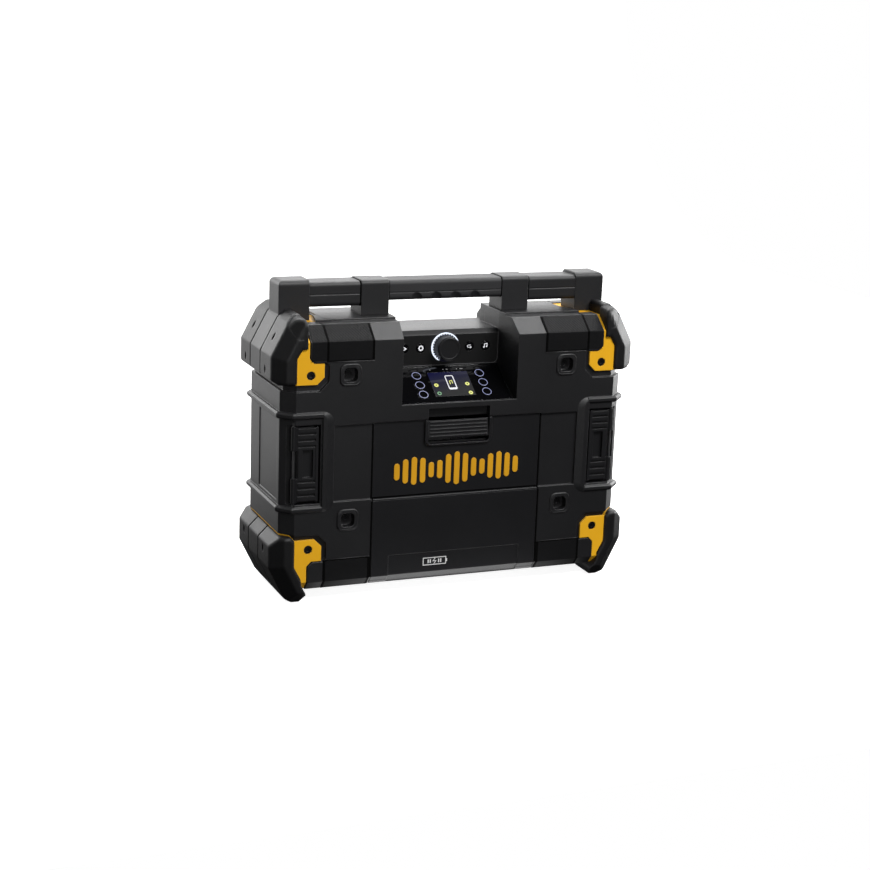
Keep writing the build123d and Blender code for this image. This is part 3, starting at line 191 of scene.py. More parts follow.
# ---------------------------------------------------------------- Housing
# Two injection-moulded shells of black glass-filled plastic, joined a third of the depth from the back, with a
# small moulded wedge at each front corner of the deck. The mould gives them a fine spark-eroded grain, and
# their edges are a little rounded and rubbed pale.
SIDES = (("left", -1), ("right", 1))


def noise(tree, place, scale, detail, **more):
    """Soft random clouds, so many to the metre."""
    return shade(tree, "ShaderNodeTexNoise", Vector=place, Scale=scale, Detail=detail, **more).outputs[0]


def toned(tree, colour, level):
    """A colour times a level."""
    return shade(tree, "ShaderNodeVectorMath", {"operation": "SCALE"}, _0=colour, Scale=level).outputs[0]


def blend(tree, mask, first, second):
    """The first colour where the mask is 0, the second where it is 1."""
    return shade(tree, "ShaderNodeMix", {"data_type": "RGBA"}, _0=mask, _6=first, _7=second).outputs[2]


def open_group(name, inputs, outputs):
    """A node group with named sockets: its tree, and the sockets inside it."""
    tree = bpy.data.node_groups.new(name, "ShaderNodeTree")
    for title, kind in inputs:
        tree.interface.new_socket(title, in_out="INPUT", socket_type=kind)
    for title, kind in outputs:
        tree.interface.new_socket(title, in_out="OUTPUT", socket_type=kind)
    return tree, tree.nodes.new("NodeGroupInput").outputs, tree.nodes.new("NodeGroupOutput").inputs


NUMBER, COLOUR, VECTOR = "NodeSocketFloat", "NodeSocketColor", "NodeSocketVector"
skin, given, made = open_group(
    "moulded_skin",
    [("Colour", COLOUR), ("Rubbed", COLOUR), ("Rough", NUMBER), ("Grain", NUMBER), ("Depth", NUMBER),
     ("Edge", NUMBER), ("Rubbing", NUMBER)],
    [("Colour", COLOUR), ("Rough", NUMBER), ("Normal", VECTOR)],
)
EDGE_CONTRAST, GRAIN_ROUGH, CLOUD_ROUGH, RUB_ROUGH = 3.2, 0.14, 0.08, -0.12
place = object_place(skin)
rounded = shade(skin, "ShaderNodeBevel", {"samples": 6}, Radius=given["Edge"]).outputs[0]
facing = shade(skin, "ShaderNodeNewGeometry").outputs["Normal"]
turn = shade(skin, "ShaderNodeVectorMath", {"operation": "DOT_PRODUCT"}, _0=rounded, _1=facing).outputs["Value"]
edge = math_node(skin, "MULTIPLY", math_node(skin, "SUBTRACT", 1.0, turn), EDGE_CONTRAST, clamp=True)
patches = ramp(skin, noise(skin, place, 90.0, 3.0), 0.35, 0.65, 0.4, 1.0)
rub = math_node(skin, "MULTIPLY", math_node(skin, "MULTIPLY", edge, patches), given["Rubbing"], clamp=True)
cloud = noise(skin, place, 14.0, 4.0)
tinted = toned(skin, given["Colour"], ramp(skin, cloud, 0.3, 0.7, 0.93, 1.07))
skin.links.new(blend(skin, rub, tinted, given["Rubbed"]), made["Colour"])
grain = noise(skin, place, given["Grain"], 2.0, Roughness=0.6)
rough = math_node(skin, "MULTIPLY_ADD", grain, GRAIN_ROUGH, given["Rough"])
rough = math_node(skin, "MULTIPLY_ADD", cloud, CLOUD_ROUGH, rough)
skin.links.new(math_node(skin, "MULTIPLY_ADD", rub, RUB_ROUGH, rough, clamp=True), made["Rough"])
bumps = shade(skin, "ShaderNodeBump", Strength=0.7, Distance=given["Depth"], Height=grain, Normal=rounded)
skin.links.new(bumps.outputs[0], made["Normal"])


def moulded(name, colour, rubbed, rough, grain, depth, edge, rubbing=1.0, shine=0.4):
    """A moulded plastic or rubber: its colour, the colour of rubbed edges, roughness, grains to the metre and
    their depth, the radius of its edges, how much of them is rubbed, and the strength of its shine."""
    material, tree, output = new_material(name)
    coat = shade(tree, "ShaderNodeGroup", {"node_tree": skin}, Colour=(*colour, 1), Rubbed=(*rubbed, 1),
                 Rough=rough, Grain=grain, Depth=depth, Edge=edge, Rubbing=rubbing).outputs
    bsdf = shade(tree, "ShaderNodeBsdfPrincipled", Base_Color=coat["Colour"], Roughness=coat["Rough"],
                 Normal=coat["Normal"], Specular_IOR_Level=shine)
    tree.links.new(bsdf.outputs[0], output.inputs[0])
    return material


def finish_nodes(material, *names):
    """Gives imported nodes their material."""
    for name in names:
        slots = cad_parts[name].data.materials
        slots.clear()
        slots.append(material)


def hull(loops, ring=False, flip=False):
    """A closed body through a row of outlines with as many points each: a wall from each outline to the next,
    then either a wall from the last to the first or a cap on both ends. Outlines turn left seen from the last
    one, or right with flip."""
    rows, count = len(loops), len(loops[0])
    level = np.arange(rows if ring else rows - 1)[:, None] * count
    above = (level + count) % (rows * count)
    here = np.arange(count)
    ahead = (here + 1) % count
    walls = np.stack([level + here, above + here, above + ahead, level + ahead], axis=-1).reshape(-1, 4)
    faces = (walls if flip else walls[:, ::-1]).tolist()
    if not ring:
        base, lid = list(range(count)), list(range((rows - 1) * count, rows * count))
        faces += [base, lid[::-1]] if flip else [base[::-1], lid]
    return np.vstack(loops), faces


def add_piece(name, parts, material, body="radio", smooth=False):
    """Joins (points, faces) parts to one object that rides on a body."""
    points, faces = [], []
    for part_points, part_faces in parts:
        faces += [[corner + len(points) for corner in face] for face in part_faces]
        points += part_points.tolist()
    thing = mesh_object(name, points, faces, smooth)
    thing.data.materials.append(material)
    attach(thing, body)


case_black = moulded("case_black", (0.0045, 0.0045, 0.0055), (0.04, 0.04, 0.043), rough=0.36, grain=2600,
                     depth=0.00012, edge=0.0013, shine=0.55)
finish_nodes(case_black, "front_housing", "rear_housing")
WEDGE_LOW, WEDGE_HIGH = 0.3159, 0.3193
WEDGE = np.array([(0.1425, -0.035), (0.1622, -0.035), (0.1550, -0.005), (0.1513, -0.005), (0.1513, -0.026)])
for side, sign in SIDES:
    outline = (WEDGE * (sign, 1))[::sign]
    wedge = hull([np.column_stack([outline, np.full(len(WEDGE), z)]) for z in (WEDGE_LOW, WEDGE_HIGH)])
    add_piece(f"{side}_deck_corner", [wedge], case_black)

# ---------------------------------------------------------------- Corner guards and brackets
# Thick guards of coarse black polypropylene take the knocks. Each is grooved and pierced by small holes, and
# the upper ones end in a nose over the front edge. Under them a yellow strap is bent round each corner and
# held front and back by a socket screw.
GROOVE_Y, GROOVE_HALF, HOLE_Y, HOLE_HALF, HOLE_TALL = 0.0192, 0.0014, 0.038, 0.0024, 0.0045
SIDE_HOLES, SLOPE_HOLE, SLOPE_UP = (0.2675, 0.062), (0.2115, 0.30325), (-0.4617, 0.887)
# Near-black colour of the painted shade in the guards' groove and holes.
PAINTED_SHADE = (0.001, 0.001, 0.001, 1)


def reach(tree, a, b):
    """The distance of a point that is a and b away along two directions."""
    both_ways = shade(tree, "ShaderNodeCombineXYZ", _0=a, _1=b).outputs[0]
    return shade(tree, "ShaderNodeVectorMath", {"operation": "LENGTH"}, _0=both_ways).outputs["Value"]


def both(*kinds):
    """The names of the left and the right piece of each kind."""
    return [f"{side}_{kind}" for side, sign in SIDES for kind in kinds]


guard_black = moulded("guard_black", (0.005, 0.005, 0.0055), (0.04, 0.04, 0.042), rough=0.36, grain=1700,
                      depth=0.0002, edge=0.0035, rubbing=0.8, shine=0.36)
finish_nodes(guard_black, *both("upper_guard", "lower_guard"))
tree = guard_black.node_tree
x, y, z = split(tree, object_place(tree))
out_x, out_y = math_node(tree, "ABSOLUTE", x), math_node(tree, "ABSOLUTE", y)
# The groove and the small holes are painted near-black and matte: painted shade in the recesses.
painted_shade = math_node(tree, "COMPARE", out_y, GROOVE_Y, GROOVE_HALF)
across = math_node(tree, "DIVIDE", math_node(tree, "SUBTRACT", out_y, HOLE_Y), HOLE_HALF)
run = math_node(tree, "MULTIPLY", math_node(tree, "SUBTRACT", out_x, SLOPE_HOLE[0]), SLOPE_UP[0])
rise = math_node(tree, "MULTIPLY", math_node(tree, "SUBTRACT", z, SLOPE_HOLE[1]), SLOPE_UP[1])
for way in [math_node(tree, "SUBTRACT", z, height) for height in SIDE_HOLES] + [math_node(tree, "ADD", rise, run)]:
    hole = reach(tree, across, math_node(tree, "DIVIDE", way, HOLE_TALL))
    painted_shade = math_node(tree, "MAXIMUM", painted_shade, math_node(tree, "LESS_THAN", hole, 1.0))
bsdf = next(node for node in tree.nodes if node.type == "BSDF_PRINCIPLED")
coat = bsdf.inputs["Base Color"].links[0].from_node.outputs
tree.links.new(blend(tree, painted_shade, coat["Colour"], PAINTED_SHADE), bsdf.inputs["Base Color"])
tree.links.new(math_node(tree, "MAXIMUM", painted_shade, coat["Rough"]), bsdf.inputs["Roughness"])

NOSE_X = (0.1819, 0.1832, 0.1856, 0.1900, 0.1940, 0.1980, 0.2015, 0.2035)
NOSE_TOP = (0.3236, 0.3252, 0.3266, 0.3272, 0.3262, 0.3232, 0.3192, 0.3166)
NOSE_SINK = (0.0012, 0.0002, 0, 0, 0, 0, 0.0002, 0.0012)
NOSE_LOW, NOSE_FRONT, NOSE_LIFT = 0.2940, -0.072, 0.0002


def nose_outline(x, top, sink):
    """One section of a guard's nose, as y and z: up the front, which the guard's outer facet holds back, over
    the rounded top and down inside the guard. The facet is a plane: 0.77 y = 0.57 x + 0.3 z + a constant."""
    facet_x, facet_y, facet_z = 0.202, -0.066, 0.3046
    z = np.concatenate([np.linspace(NOSE_LOW, top - 0.0070, 5), top - np.array([0.0035, 0.0010, 0])])
    facet = facet_y + (0.57 * (x - facet_x) + 0.3 * (z - facet_z)) / 0.77
    y = np.maximum(NOSE_FRONT, facet) + NOSE_LIFT + sink
    y[-3:] = y[-4] + np.array([0.0012, 0.0038, 0.0085])
    y = np.concatenate([y, [-0.050, -0.050, -0.062]])
    z = np.concatenate([z, [top + 0.0008, 0.3120, 0.3000]])
    return y, z


for side, sign in SIDES:
    loops = []
    for x, top, sink in zip(NOSE_X, NOSE_TOP, NOSE_SINK):
        y, z = nose_outline(x, top, sink)
        loops.append(np.column_stack([np.full(len(y), sign * x), y, z]))
    add_piece(f"{side}_guard_brow", [hull(loops, flip=sign > 0)], guard_black)

strap_yellow = moulded("strap_yellow", (0.82, 0.42, 0.016), (0.92, 0.6, 0.16), rough=0.36, grain=2400,
                       depth=0.00008, edge=0.0008, shine=0.15)
finish_nodes(strap_yellow, *both("upper_bracket", "lower_bracket"))

steel, given, made = open_group(
    "drawn_steel", [("Colour", COLOUR), ("Rough", NUMBER)],
    [("Colour", COLOUR), ("Rough", NUMBER), ("Normal", VECTOR)],
)
STRETCH, LINE_ROUGH = (1.0, 1.0, 0.12), 0.2
place = object_place(steel)
stretched = shade(steel, "ShaderNodeMapping", Vector=place, Scale=STRETCH).outputs[0]
lines = noise(steel, stretched, 3000.0, 3.0)
smear = ramp(steel, noise(steel, place, 120.0, 3.0), 0.3, 0.7, 0.8, 1.05)
steel.links.new(toned(steel, given["Colour"], smear), made["Colour"])
steel.links.new(math_node(steel, "MULTIPLY_ADD", lines, LINE_ROUGH, given["Rough"]), made["Rough"])
edges = shade(steel, "ShaderNodeBevel", {"samples": 4}, Radius=0.0003).outputs[0]
scores = shade(steel, "ShaderNodeBump", Strength=0.4, Distance=0.00004, Height=lines, Normal=edges)
steel.links.new(scores.outputs[0], made["Normal"])


def metal(name, colour, rough):
    """A plain metal with fine drawing lines."""
    material, tree, output = new_material(name)
    coat = shade(tree, "ShaderNodeGroup", {"node_tree": steel}, Colour=(*colour, 1), Rough=rough).outputs
    bsdf = shade(tree, "ShaderNodeBsdfPrincipled", Base_Color=coat["Colour"], Metallic=1.0,
                 Roughness=coat["Rough"], Normal=coat["Normal"])
    tree.links.new(bsdf.outputs[0], output.inputs[0])
    return material


finish_nodes(metal("blackened_steel", (0.05, 0.05, 0.052), 0.3), "bracket_screws", "housing_screws")

# ---------------------------------------------------------------- Handle
# A steel tube runs through the end caps, the posts, the bars and the grip. The bars are moulded in halves; where
# they meet the caps and the posts a thin near-black ring of painted shade stands in the joint, and the grip is a
# softer rubber.
handle_black = moulded("handle_black", (0.0115, 0.0115, 0.0125), (0.05, 0.05, 0.053), rough=0.36, grain=2200,
                       depth=0.00012, edge=0.0016)
finish_nodes(handle_black, *both("end_cap", "post", "bar_sleeve"))
grip_rubber = moulded("grip_rubber", (0.018, 0.018, 0.0195), (0.035, 0.035, 0.037), rough=0.46, grain=1500,
                      depth=0.00018, edge=0.0016)
finish_nodes(grip_rubber, "grip")
JOINT_WIDTH, JOINT_LIFT, JOINT_SINK = 0.0016, 0.0003, 0.0004
BAR_HALF_DEPTH, BAR_TOP, BAR_SOFT = 0.0175, 0.3582, 0.005
CAP_JOINT, POST_JOINT = (0.1030, 0.330), (0.0690, 0.335)


def collar(x_low, x_high, low_z):
    """A thin ring round the bar between two places of x. The bar's outline is a box with round corners: each
    corner's centre plus a radius times the cosine and sine of the turn."""
    quarter = np.radians(np.linspace(0, 90, 7))
    centres, turns = [], []
    for sign, z, start in ((1, BAR_TOP - BAR_SOFT, 0), (-1, BAR_TOP - BAR_SOFT, 90),
                           (-1, low_z + BAR_SOFT, 180), (1, low_z + BAR_SOFT, 270)):
        centres += [(sign * (BAR_HALF_DEPTH - BAR_SOFT), z)] * len(quarter)
        turns.append(quarter + math.radians(start))
    centres, turns = np.array(centres), np.concatenate(turns)
    ways = np.column_stack([np.cos(turns), np.sin(turns)])
    inner, outer = BAR_SOFT - JOINT_SINK, BAR_SOFT + JOINT_LIFT
    return hull([np.column_stack([np.full(len(turns), x), centres + radius * ways])
                 for x, radius in ((x_low, inner), (x_low, outer), (x_high, outer), (x_high, inner))], ring=True)


# Near-black rings in the joints of the bars with the caps and the posts: painted shade.
joint_shades = [collar(*sorted((sign * x, sign * (x + JOINT_WIDTH))), low_z)
          for side, sign in SIDES for x, low_z in (CAP_JOINT, POST_JOINT)]
# Near-black and matte: the colour of painted shade in gaps and grooves.
gap_shade_black = moulded("gap_shade_black", (0.001, 0.001, 0.001), (0.002, 0.002, 0.002), rough=0.7, grain=900,
                     depth=0.00005, edge=0.0001, shine=0.05)
add_piece("handle_joint_shades", joint_shades, gap_shade_black, smooth=True)
finish_nodes(metal("bright_steel", (0.62, 0.62, 0.63), 0.18), "handle_tube", "encoder_shaft")

# ---------------------------------------------------------------- Speakers
# Black pressed grilles are bent over the top and bottom chamfers: fine level lines on the front, coarser
# leaning ribs above. The drivers sit slanted behind them, with paper cones and rubber surrounds.
grille_black = moulded("grille_black", (0.0045, 0.0045, 0.005), (0.02, 0.02, 0.021), rough=0.5, grain=1900,
                       depth=0.00008, edge=0.0004, shine=0.12)
finish_nodes(grille_black, *both("upper_grille", "lower_grille"))
RIB_PITCH, RIB_HEIGHT, RIB_LEAN, LINE_PITCH, LINE_HEIGHT = 0.0034, 0.00022, 0.6, 0.00125, 0.00006
FRONT_Y, SHEET_LIFT, SHEET_SINK, STRIP_LIFT = -0.070, 0.0003, -0.0002, 0.00035
TOP_CHAMFER, BASE_CHAMFER = (0.301, 0.0195, 0.0156), (0.026, 0.0088, -0.0098)
UPPER_LOW, LOWER_HIGH, SEAM, LEVEL_SEAM, SHEET_GAP = 0.279, 0.051, 0.0028, 0.0014, 0.0012
GRILLE_IN, GRILLE_OUT, SHOULDER_OUT, LEDGE = 0.1045, 0.1575, 0.1772, 0.0007


def closed_slab(top, bottom):
    """A thin body between two grids of points of the same size: both faces and the four walls."""
    rows, columns = top.shape[:2]
    count = rows * columns
    corner = (np.arange(rows - 1)[:, None] * columns + np.arange(columns - 1)).reshape(-1, 1)
    upper = corner + np.array([0, 1, columns + 1, columns])
    rim = np.concatenate([
        np.arange(columns - 1), np.arange(rows - 1) * columns + columns - 1,
        count - 1 - np.arange(columns - 1), (np.arange(rows - 1)[::-1] + 1) * columns,
    ])
    ahead = np.roll(rim, -1)
    walls = np.stack([rim, rim + count, ahead + count, ahead], axis=1)
    faces = np.vstack([upper, upper[:, ::-1] + count, walls])
    return np.vstack([top.reshape(-1, 3), bottom.reshape(-1, 3)]), faces.tolist()


def bent_sheet(x_low, x_high, level, columns, chamfer, rows, lift_of):
    """A sheet on the front that is bent over a chamfer: levels on the front, then the chamfer's start, run and
    rise. The lift of each point is a function of x, level and the way along the chamfer."""
    start, run, rise = chamfer
    length = math.hypot(run, rise)
    climb = np.linspace(0, 1, rows)[1:]
    y = np.concatenate([np.full(len(level), FRONT_Y), FRONT_Y + run * climb])
    z = np.concatenate([level, start + rise * climb])
    along = np.concatenate([np.zeros(len(level)), length * climb])
    grid_x, grid_z = np.meshgrid(np.linspace(x_low, x_high, columns), z)
    grid_along = np.meshgrid(grid_x[0], along)[1]
    out_y = np.where(along > 0, -abs(rise) / length, -1.0)[:, None]
    out_z = np.where(along > 0, math.copysign(run / length, rise), 0.0)[:, None]

    def raised(lift):
        return np.stack([grid_x, y[:, None] + lift * out_y, grid_z + lift * out_z], axis=-1)

    top, bottom = raised(lift_of(grid_x, grid_z, grid_along)), raised(np.full(grid_x.shape, SHEET_SINK))
    return closed_slab(top[::-1], bottom[::-1]) if rise < 0 else closed_slab(top, bottom)


def wave(way, pitch, height):
    """A row of round ribs: half a height plus half a height times the cosine of the way over the pitch."""
    return height * (0.5 + 0.5 * np.cos(2 * math.pi * way / pitch))


def ribbed(grid_x, grid_z, grid_along):
    """Fine level lines on the front, coarse leaning ribs on the chamfer."""
    ribs = wave(grid_x + RIB_LEAN * grid_along, RIB_PITCH, RIB_HEIGHT)
    return SHEET_LIFT + np.where(grid_along > 0, ribs, wave(grid_z, LINE_PITCH, LINE_HEIGHT))


def lined(grid_x, grid_z, grid_along):
    """Fine level lines on the front and a plain chamfer."""
    return SHEET_LIFT + np.where(grid_along > 0, 0, wave(grid_z, LINE_PITCH, LINE_HEIGHT))


def flat(grid_x, grid_z, grid_along):
    """A plain strip, a little above the sheets."""
    return np.full(grid_x.shape, STRIP_LIFT)


def ruled(low, high):
    """Levels from low to high, five to each fine line."""
    return np.linspace(low, high, int(abs(high - low) / LINE_PITCH * 5))


def round_bar(x_low, x_high, y, z, radius):
    """A straight round bar along x: a circle of twelve points at both ends."""
    turn = np.radians(np.arange(0, 360, 30))
    return hull([np.column_stack([np.full(len(turn), x), y + radius * np.cos(turn), z + radius * np.sin(turn)])
                 for x in (x_low, x_high)])


# Round ledges under the upper and over the lower grilles, in a lighter black than the case: real ledges with a
# painted highlight.
lit_ledge_black = moulded("lit_ledge_black", (0.03, 0.03, 0.031), (0.06, 0.06, 0.06), rough=0.3, grain=2600,
                      depth=0.00005, edge=0.0002)
for side, sign in SIDES:
    for part, inner, outer in (("grille", GRILLE_IN + SEAM, GRILLE_OUT),
                               ("shoulder", GRILLE_OUT + SEAM, SHOULDER_OUT)):
        low_x, high_x = sorted((sign * inner, sign * outer))
        columns = int((high_x - low_x) / RIB_PITCH * 9)
        level = ruled(UPPER_LOW + SHEET_GAP, TOP_CHAMFER[0])
        sheet = bent_sheet(low_x, high_x, level, columns, TOP_CHAMFER, 12, ribbed)
        add_piece(f"{side}_{part}_ribs", [sheet], grille_black)
    low_x, high_x = sorted((sign * (GRILLE_IN + SEAM), sign * GRILLE_OUT))
    sheet = bent_sheet(low_x, high_x, ruled(LOWER_HIGH - SHEET_GAP, BASE_CHAMFER[0]), 4, BASE_CHAMFER, 4, lined)
    add_piece(f"{side}_lower_grille_face", [sheet], grille_black)
    # Near-black strips down both sides of each grille and along its top and foot: painted shade in the gaps.
    grille_shades = []
    for inner in (GRILLE_IN, GRILLE_OUT):
        low_x, high_x = sorted((sign * inner, sign * (inner + SEAM)))
        for border, chamfer in ((UPPER_LOW, TOP_CHAMFER), (LOWER_HIGH, BASE_CHAMFER)):
            grille_shades.append(bent_sheet(low_x, high_x, np.array([border, chamfer[0]]), 2, chamfer, 2, flat))
    low_x, high_x = sorted((sign * GRILLE_IN, sign * (GRILLE_OUT + SEAM)))
    for low_z, high_z in ((UPPER_LOW, UPPER_LOW + LEVEL_SEAM), (LOWER_HIGH - LEVEL_SEAM, LOWER_HIGH)):
        corners = np.array([[(low_x, FRONT_Y, low_z), (high_x, FRONT_Y, low_z)],
                            [(low_x, FRONT_Y, high_z), (high_x, FRONT_Y, high_z)]])
        grille_shades.append(closed_slab(corners - (0, SHEET_LIFT, 0), corners - (0, SHEET_SINK, 0)))
    add_piece(f"{side}_grille_gap_shade", grille_shades, gap_shade_black)
    low_x, high_x = sorted((sign * GRILLE_IN, sign * GRILLE_OUT))
    ledges = [round_bar(low_x, high_x, FRONT_Y, UPPER_LOW - LEDGE, LEDGE),
              round_bar(low_x, high_x, FRONT_Y, LOWER_HIGH + LEDGE, LEDGE / 2)]
    add_piece(f"{side}_grille_ledges", ledges, lit_ledge_black, smooth=True)
cone_paper = moulded("cone_paper", (0.018, 0.018, 0.018), (0.03, 0.03, 0.03), rough=0.75, grain=900,
                     depth=0.0003, edge=0.0005)
finish_nodes(cone_paper, *both("upper_driver", "lower_driver"))

# ---------------------------------------------------------------- Control panel
# A bent sheet of polished black acrylic, satin on its upright part, carries a rubber-rimmed dial, four touch
# keys, six preset keys and a colour display. Signs and rings shine from behind.
SATIN_FROM, SATIN_FULL = 0.2576, 0.2580


def acrylic(name, satin=False):
    """Polished black acrylic with smears and specks of dust. It may turn satin above a height."""
    material, tree, output = new_material(name)
    place = object_place(tree)
    gloss = ramp(tree, noise(tree, place, 60.0, 5.0), 0.35, 0.75, 0.015, 0.035)
    specks = ramp(tree, noise(tree, place, 1800.0, 1.0), 0.72, 0.8, 0.0, 0.25)
    tint = blend(tree, specks, (0.002, 0.002, 0.0025, 1), (0.03, 0.03, 0.033, 1))
    if satin:
        upper = ramp(tree, split(tree, place)["Z"], SATIN_FROM, SATIN_FULL)
        tint = blend(tree, upper, tint, (0.004, 0.004, 0.0042, 1))
        gloss = shade(tree, "ShaderNodeMix", {"data_type": "FLOAT"}, _0=upper, _2=gloss, _3=0.4).outputs[0]
    edges = shade(tree, "ShaderNodeBevel", {"samples": 4}, Radius=0.0005).outputs[0]
    bsdf = shade(tree, "ShaderNodeBsdfPrincipled", Base_Color=tint, Roughness=gloss, Normal=edges)
    tree.links.new(bsdf.outputs[0], output.inputs[0])
    return material


finish_nodes(acrylic("black_acrylic"), *both("inner_key", "outer_key", *[f"preset_key_{n}" for n in (1, 2, 3)]))
finish_nodes(acrylic("fascia_acrylic", satin=True), "control_fascia")


def lit_sign(name, colour, strength):
    """Printing lit from behind: a plain colour that is a little uneven, as light through thin ink is."""
    material, tree, output = new_material(name)
    level = ramp(tree, noise(tree, object_place(tree), 700.0, 2.0), 0.3, 0.7, 0.78, 1.1)
    bsdf = shade(tree, "ShaderNodeBsdfPrincipled", Base_Color=(0.02, 0.02, 0.022, 1), Roughness=0.3,
                 Emission_Color=toned(tree, colour, level), Emission_Strength=strength)
    tree.links.new(bsdf.outputs[0], output.inputs[0])
    return material


def upright_plane(y, z=0.0):
    """A plane that faces the front: its origin, its two directions and its normal."""
    return np.array([(0, y, z), (1, 0, 0), (0, 0, 1), (0, -1, 0)])


PANEL_FOOT, PANEL_BEND, DIAL_Z = (-0.066, 0.2255), (-0.0203, 0.257), 0.2793
run, climb = PANEL_BEND[0] - PANEL_FOOT[0], PANEL_BEND[1] - PANEL_FOOT[1]
slope_cos, slope_sin = run / math.hypot(run, climb), climb / math.hypot(run, climb)
SLANT = np.array([(0, *PANEL_FOOT), (1, 0, 0), (0, slope_cos, slope_sin), (0, -slope_sin, slope_cos)])
UPRIGHT = upright_plane(PANEL_BEND[0], DIAL_Z)


def on_plane(plane, u, v, lift):
    """Points on a plane: its origin plus u and v times its directions plus a lift times its normal."""
    u, v, lift = np.broadcast_arrays(u, v, lift)
    return plane[0] + u[..., None] * plane[1] + v[..., None] * plane[2] + lift[..., None] * plane[3]


def ribbon(plane, path, width, low, high, closed=False):
    """A flat line on a plane: a rectangle carried along a path of (u, v) points, from lift low to high. At a
    bend it is wider by one over the cosine of half the turn, which keeps both edges parallel."""
    path = np.array(path, float)
    ahead, behind = np.roll(path, -1, axis=0), np.roll(path, 1, axis=0)
    if not closed:
        ahead[-1], behind[0] = path[-1], path[0]
    to_next = (ahead - path) / np.maximum(np.linalg.norm(ahead - path, axis=1), 1e-9)[:, None]
    from_last = (path - behind) / np.maximum(np.linalg.norm(path - behind, axis=1), 1e-9)[:, None]
    along = to_next + from_last
    along /= np.linalg.norm(along, axis=1)[:, None]
    turn = (to_next * from_last).sum(axis=1)
    if not closed:
        turn[[0, -1]] = 1
    half = width / 2 / np.sqrt(np.clip((1 + turn) / 2, 0.2, 1))
    across = np.stack([-along[:, 1], along[:, 0]], axis=1) * half[:, None]
    left, right = path + across, path - across
    corners = [on_plane(plane, line[:, 0], line[:, 1], lift)
               for line, lift in ((left, low), (right, low), (right, high), (left, high))]
    return hull(np.stack(corners, axis=1), ring=closed, flip=True)


def circle(radius, centre=(0.0, 0.0), start=0.0, stop=360.0, count=48):
    """Points round an arc given in degrees; a full turn leaves out its last point."""
    whole = abs(stop - start) >= 360
    angle = np.radians(np.linspace(start, stop, count, endpoint=not whole))
    return np.stack([centre[0] + radius * np.cos(angle), centre[1] + radius * np.sin(angle)], axis=1)


def disc(plane, radius, centre, low, high, count=32):
    """A small round plate: a circle at lift low and one at lift high."""
    rim = circle(radius, centre, count=count)
    return hull([on_plane(plane, rim[:, 0], rim[:, 1], lift) for lift in (low, high)])


RIM_HALF, RIM_LOW, RIM_HIGH, RIM_CORNER, RIM_WIDTH = 0.0664, -0.0204, 0.016, 0.006, 0.0008
rim_path = np.vstack([
    (-RIM_HALF, RIM_HIGH),
    circle(RIM_CORNER, (RIM_CORNER - RIM_HALF, RIM_LOW + RIM_CORNER), 180, 270, 8),
    circle(RIM_CORNER, (RIM_HALF - RIM_CORNER, RIM_LOW + RIM_CORNER), 270, 359.9, 8),
    (RIM_HALF, RIM_HIGH),
])
# A grey line round the foot and sides of the upright fascia, lighter than the acrylic: a painted highlight on its
# lip.
rim_highlight_grey = moulded("rim_highlight_grey", (0.085, 0.085, 0.088), (0.12, 0.12, 0.12), rough=0.3, grain=2600, depth=0.00003,
                   edge=0.0001)
add_piece("fascia_rim_highlight", [ribbon(UPRIGHT, rim_path, RIM_WIDTH, -0.0002, 0.0004)], rim_highlight_grey)

# Preset keys: a fine blue-white ring shines through each.
PRESET_X, PRESET_FIRST, PRESET_PITCH, RING_RADIUS, RING_WIDTH = 0.0391, 0.0126, 0.0146, 0.0052, 0.00065
KEY_PROUD = 0.0006
SIGN_LOW, SIGN_HIGH = KEY_PROUD - 0.0001, KEY_PROUD + 0.00012
ring_light = lit_sign("ring_light", (0.46, 0.5, 0.85), 0.75)
for side, sign in SIDES:
    for number in (1, 2, 3):
        centre = (sign * PRESET_X, PRESET_FIRST + (number - 1) * PRESET_PITCH)
        ring = ribbon(SLANT, circle(RING_RADIUS, centre), RING_WIDTH, SIGN_LOW, SIGN_HIGH, closed=True)
        add_piece(f"{side}_preset_ring_{number}", [ring], ring_light, f"{side}_preset_key_{number}")

# Touch keys: plain signs for play, settings, back and music, drawn about the middle of each key.
white_light = lit_sign("white_light", (0.95, 0.96, 1.0), 1.0)
OUTER_X, INNER_X = 0.0506, 0.0303
GEAR_RADIUS, GEAR_TOOTH, GEAR_TEETH = 0.0024, 0.0004, 8


def sign_line(centre_x, path, width, closed=False):
    """A line of a key's sign, drawn about the key's middle."""
    return ribbon(UPRIGHT, np.array(path, float) + (centre_x, 0), width, SIGN_LOW, SIGN_HIGH, closed)


triangle = [(-0.0016, -0.0021), (-0.0016, 0.0021), (0.0021, 0)]
add_piece("play_sign", [sign_line(-OUTER_X, triangle, 0.0011, closed=True)], white_light,
          "left_outer_key")
angle = np.radians(np.arange(0, 360, 7.5))
teeth = GEAR_RADIUS + GEAR_TOOTH * np.sign(np.cos(GEAR_TEETH * angle))
gear = np.stack([teeth * np.cos(angle), teeth * np.sin(angle)], axis=1)
add_piece("settings_sign", [sign_line(-INNER_X, gear, 0.0009, closed=True)], white_light,
          "left_inner_key")
hook = np.vstack([(0.0014, 0.0014), circle(0.0013, (-0.0014, 0.0001), 90, 270, 13), (0.0016, -0.0012)])
arrow = [(0.0007, 0.0001), (0.0023, -0.0012), (0.0007, -0.0025)]
add_piece("back_sign", [sign_line(INNER_X, line, 0.0006) for line in (hook, arrow)], white_light,
          "right_inner_key")
beam = [(-0.0015, -0.0016), (-0.0015, 0.0019), (0.0018, 0.0025), (0.0018, -0.001)]
heads = [disc(UPRIGHT, 0.00085, (OUTER_X + u, v), SIGN_LOW, SIGN_HIGH + 0.00003, 16)
         for u, v in ((-0.0021, -0.0017), (0.0012, -0.0011))]
add_piece("music_sign", [sign_line(OUTER_X, beam, 0.0008), *heads], white_light,
          "right_outer_key")

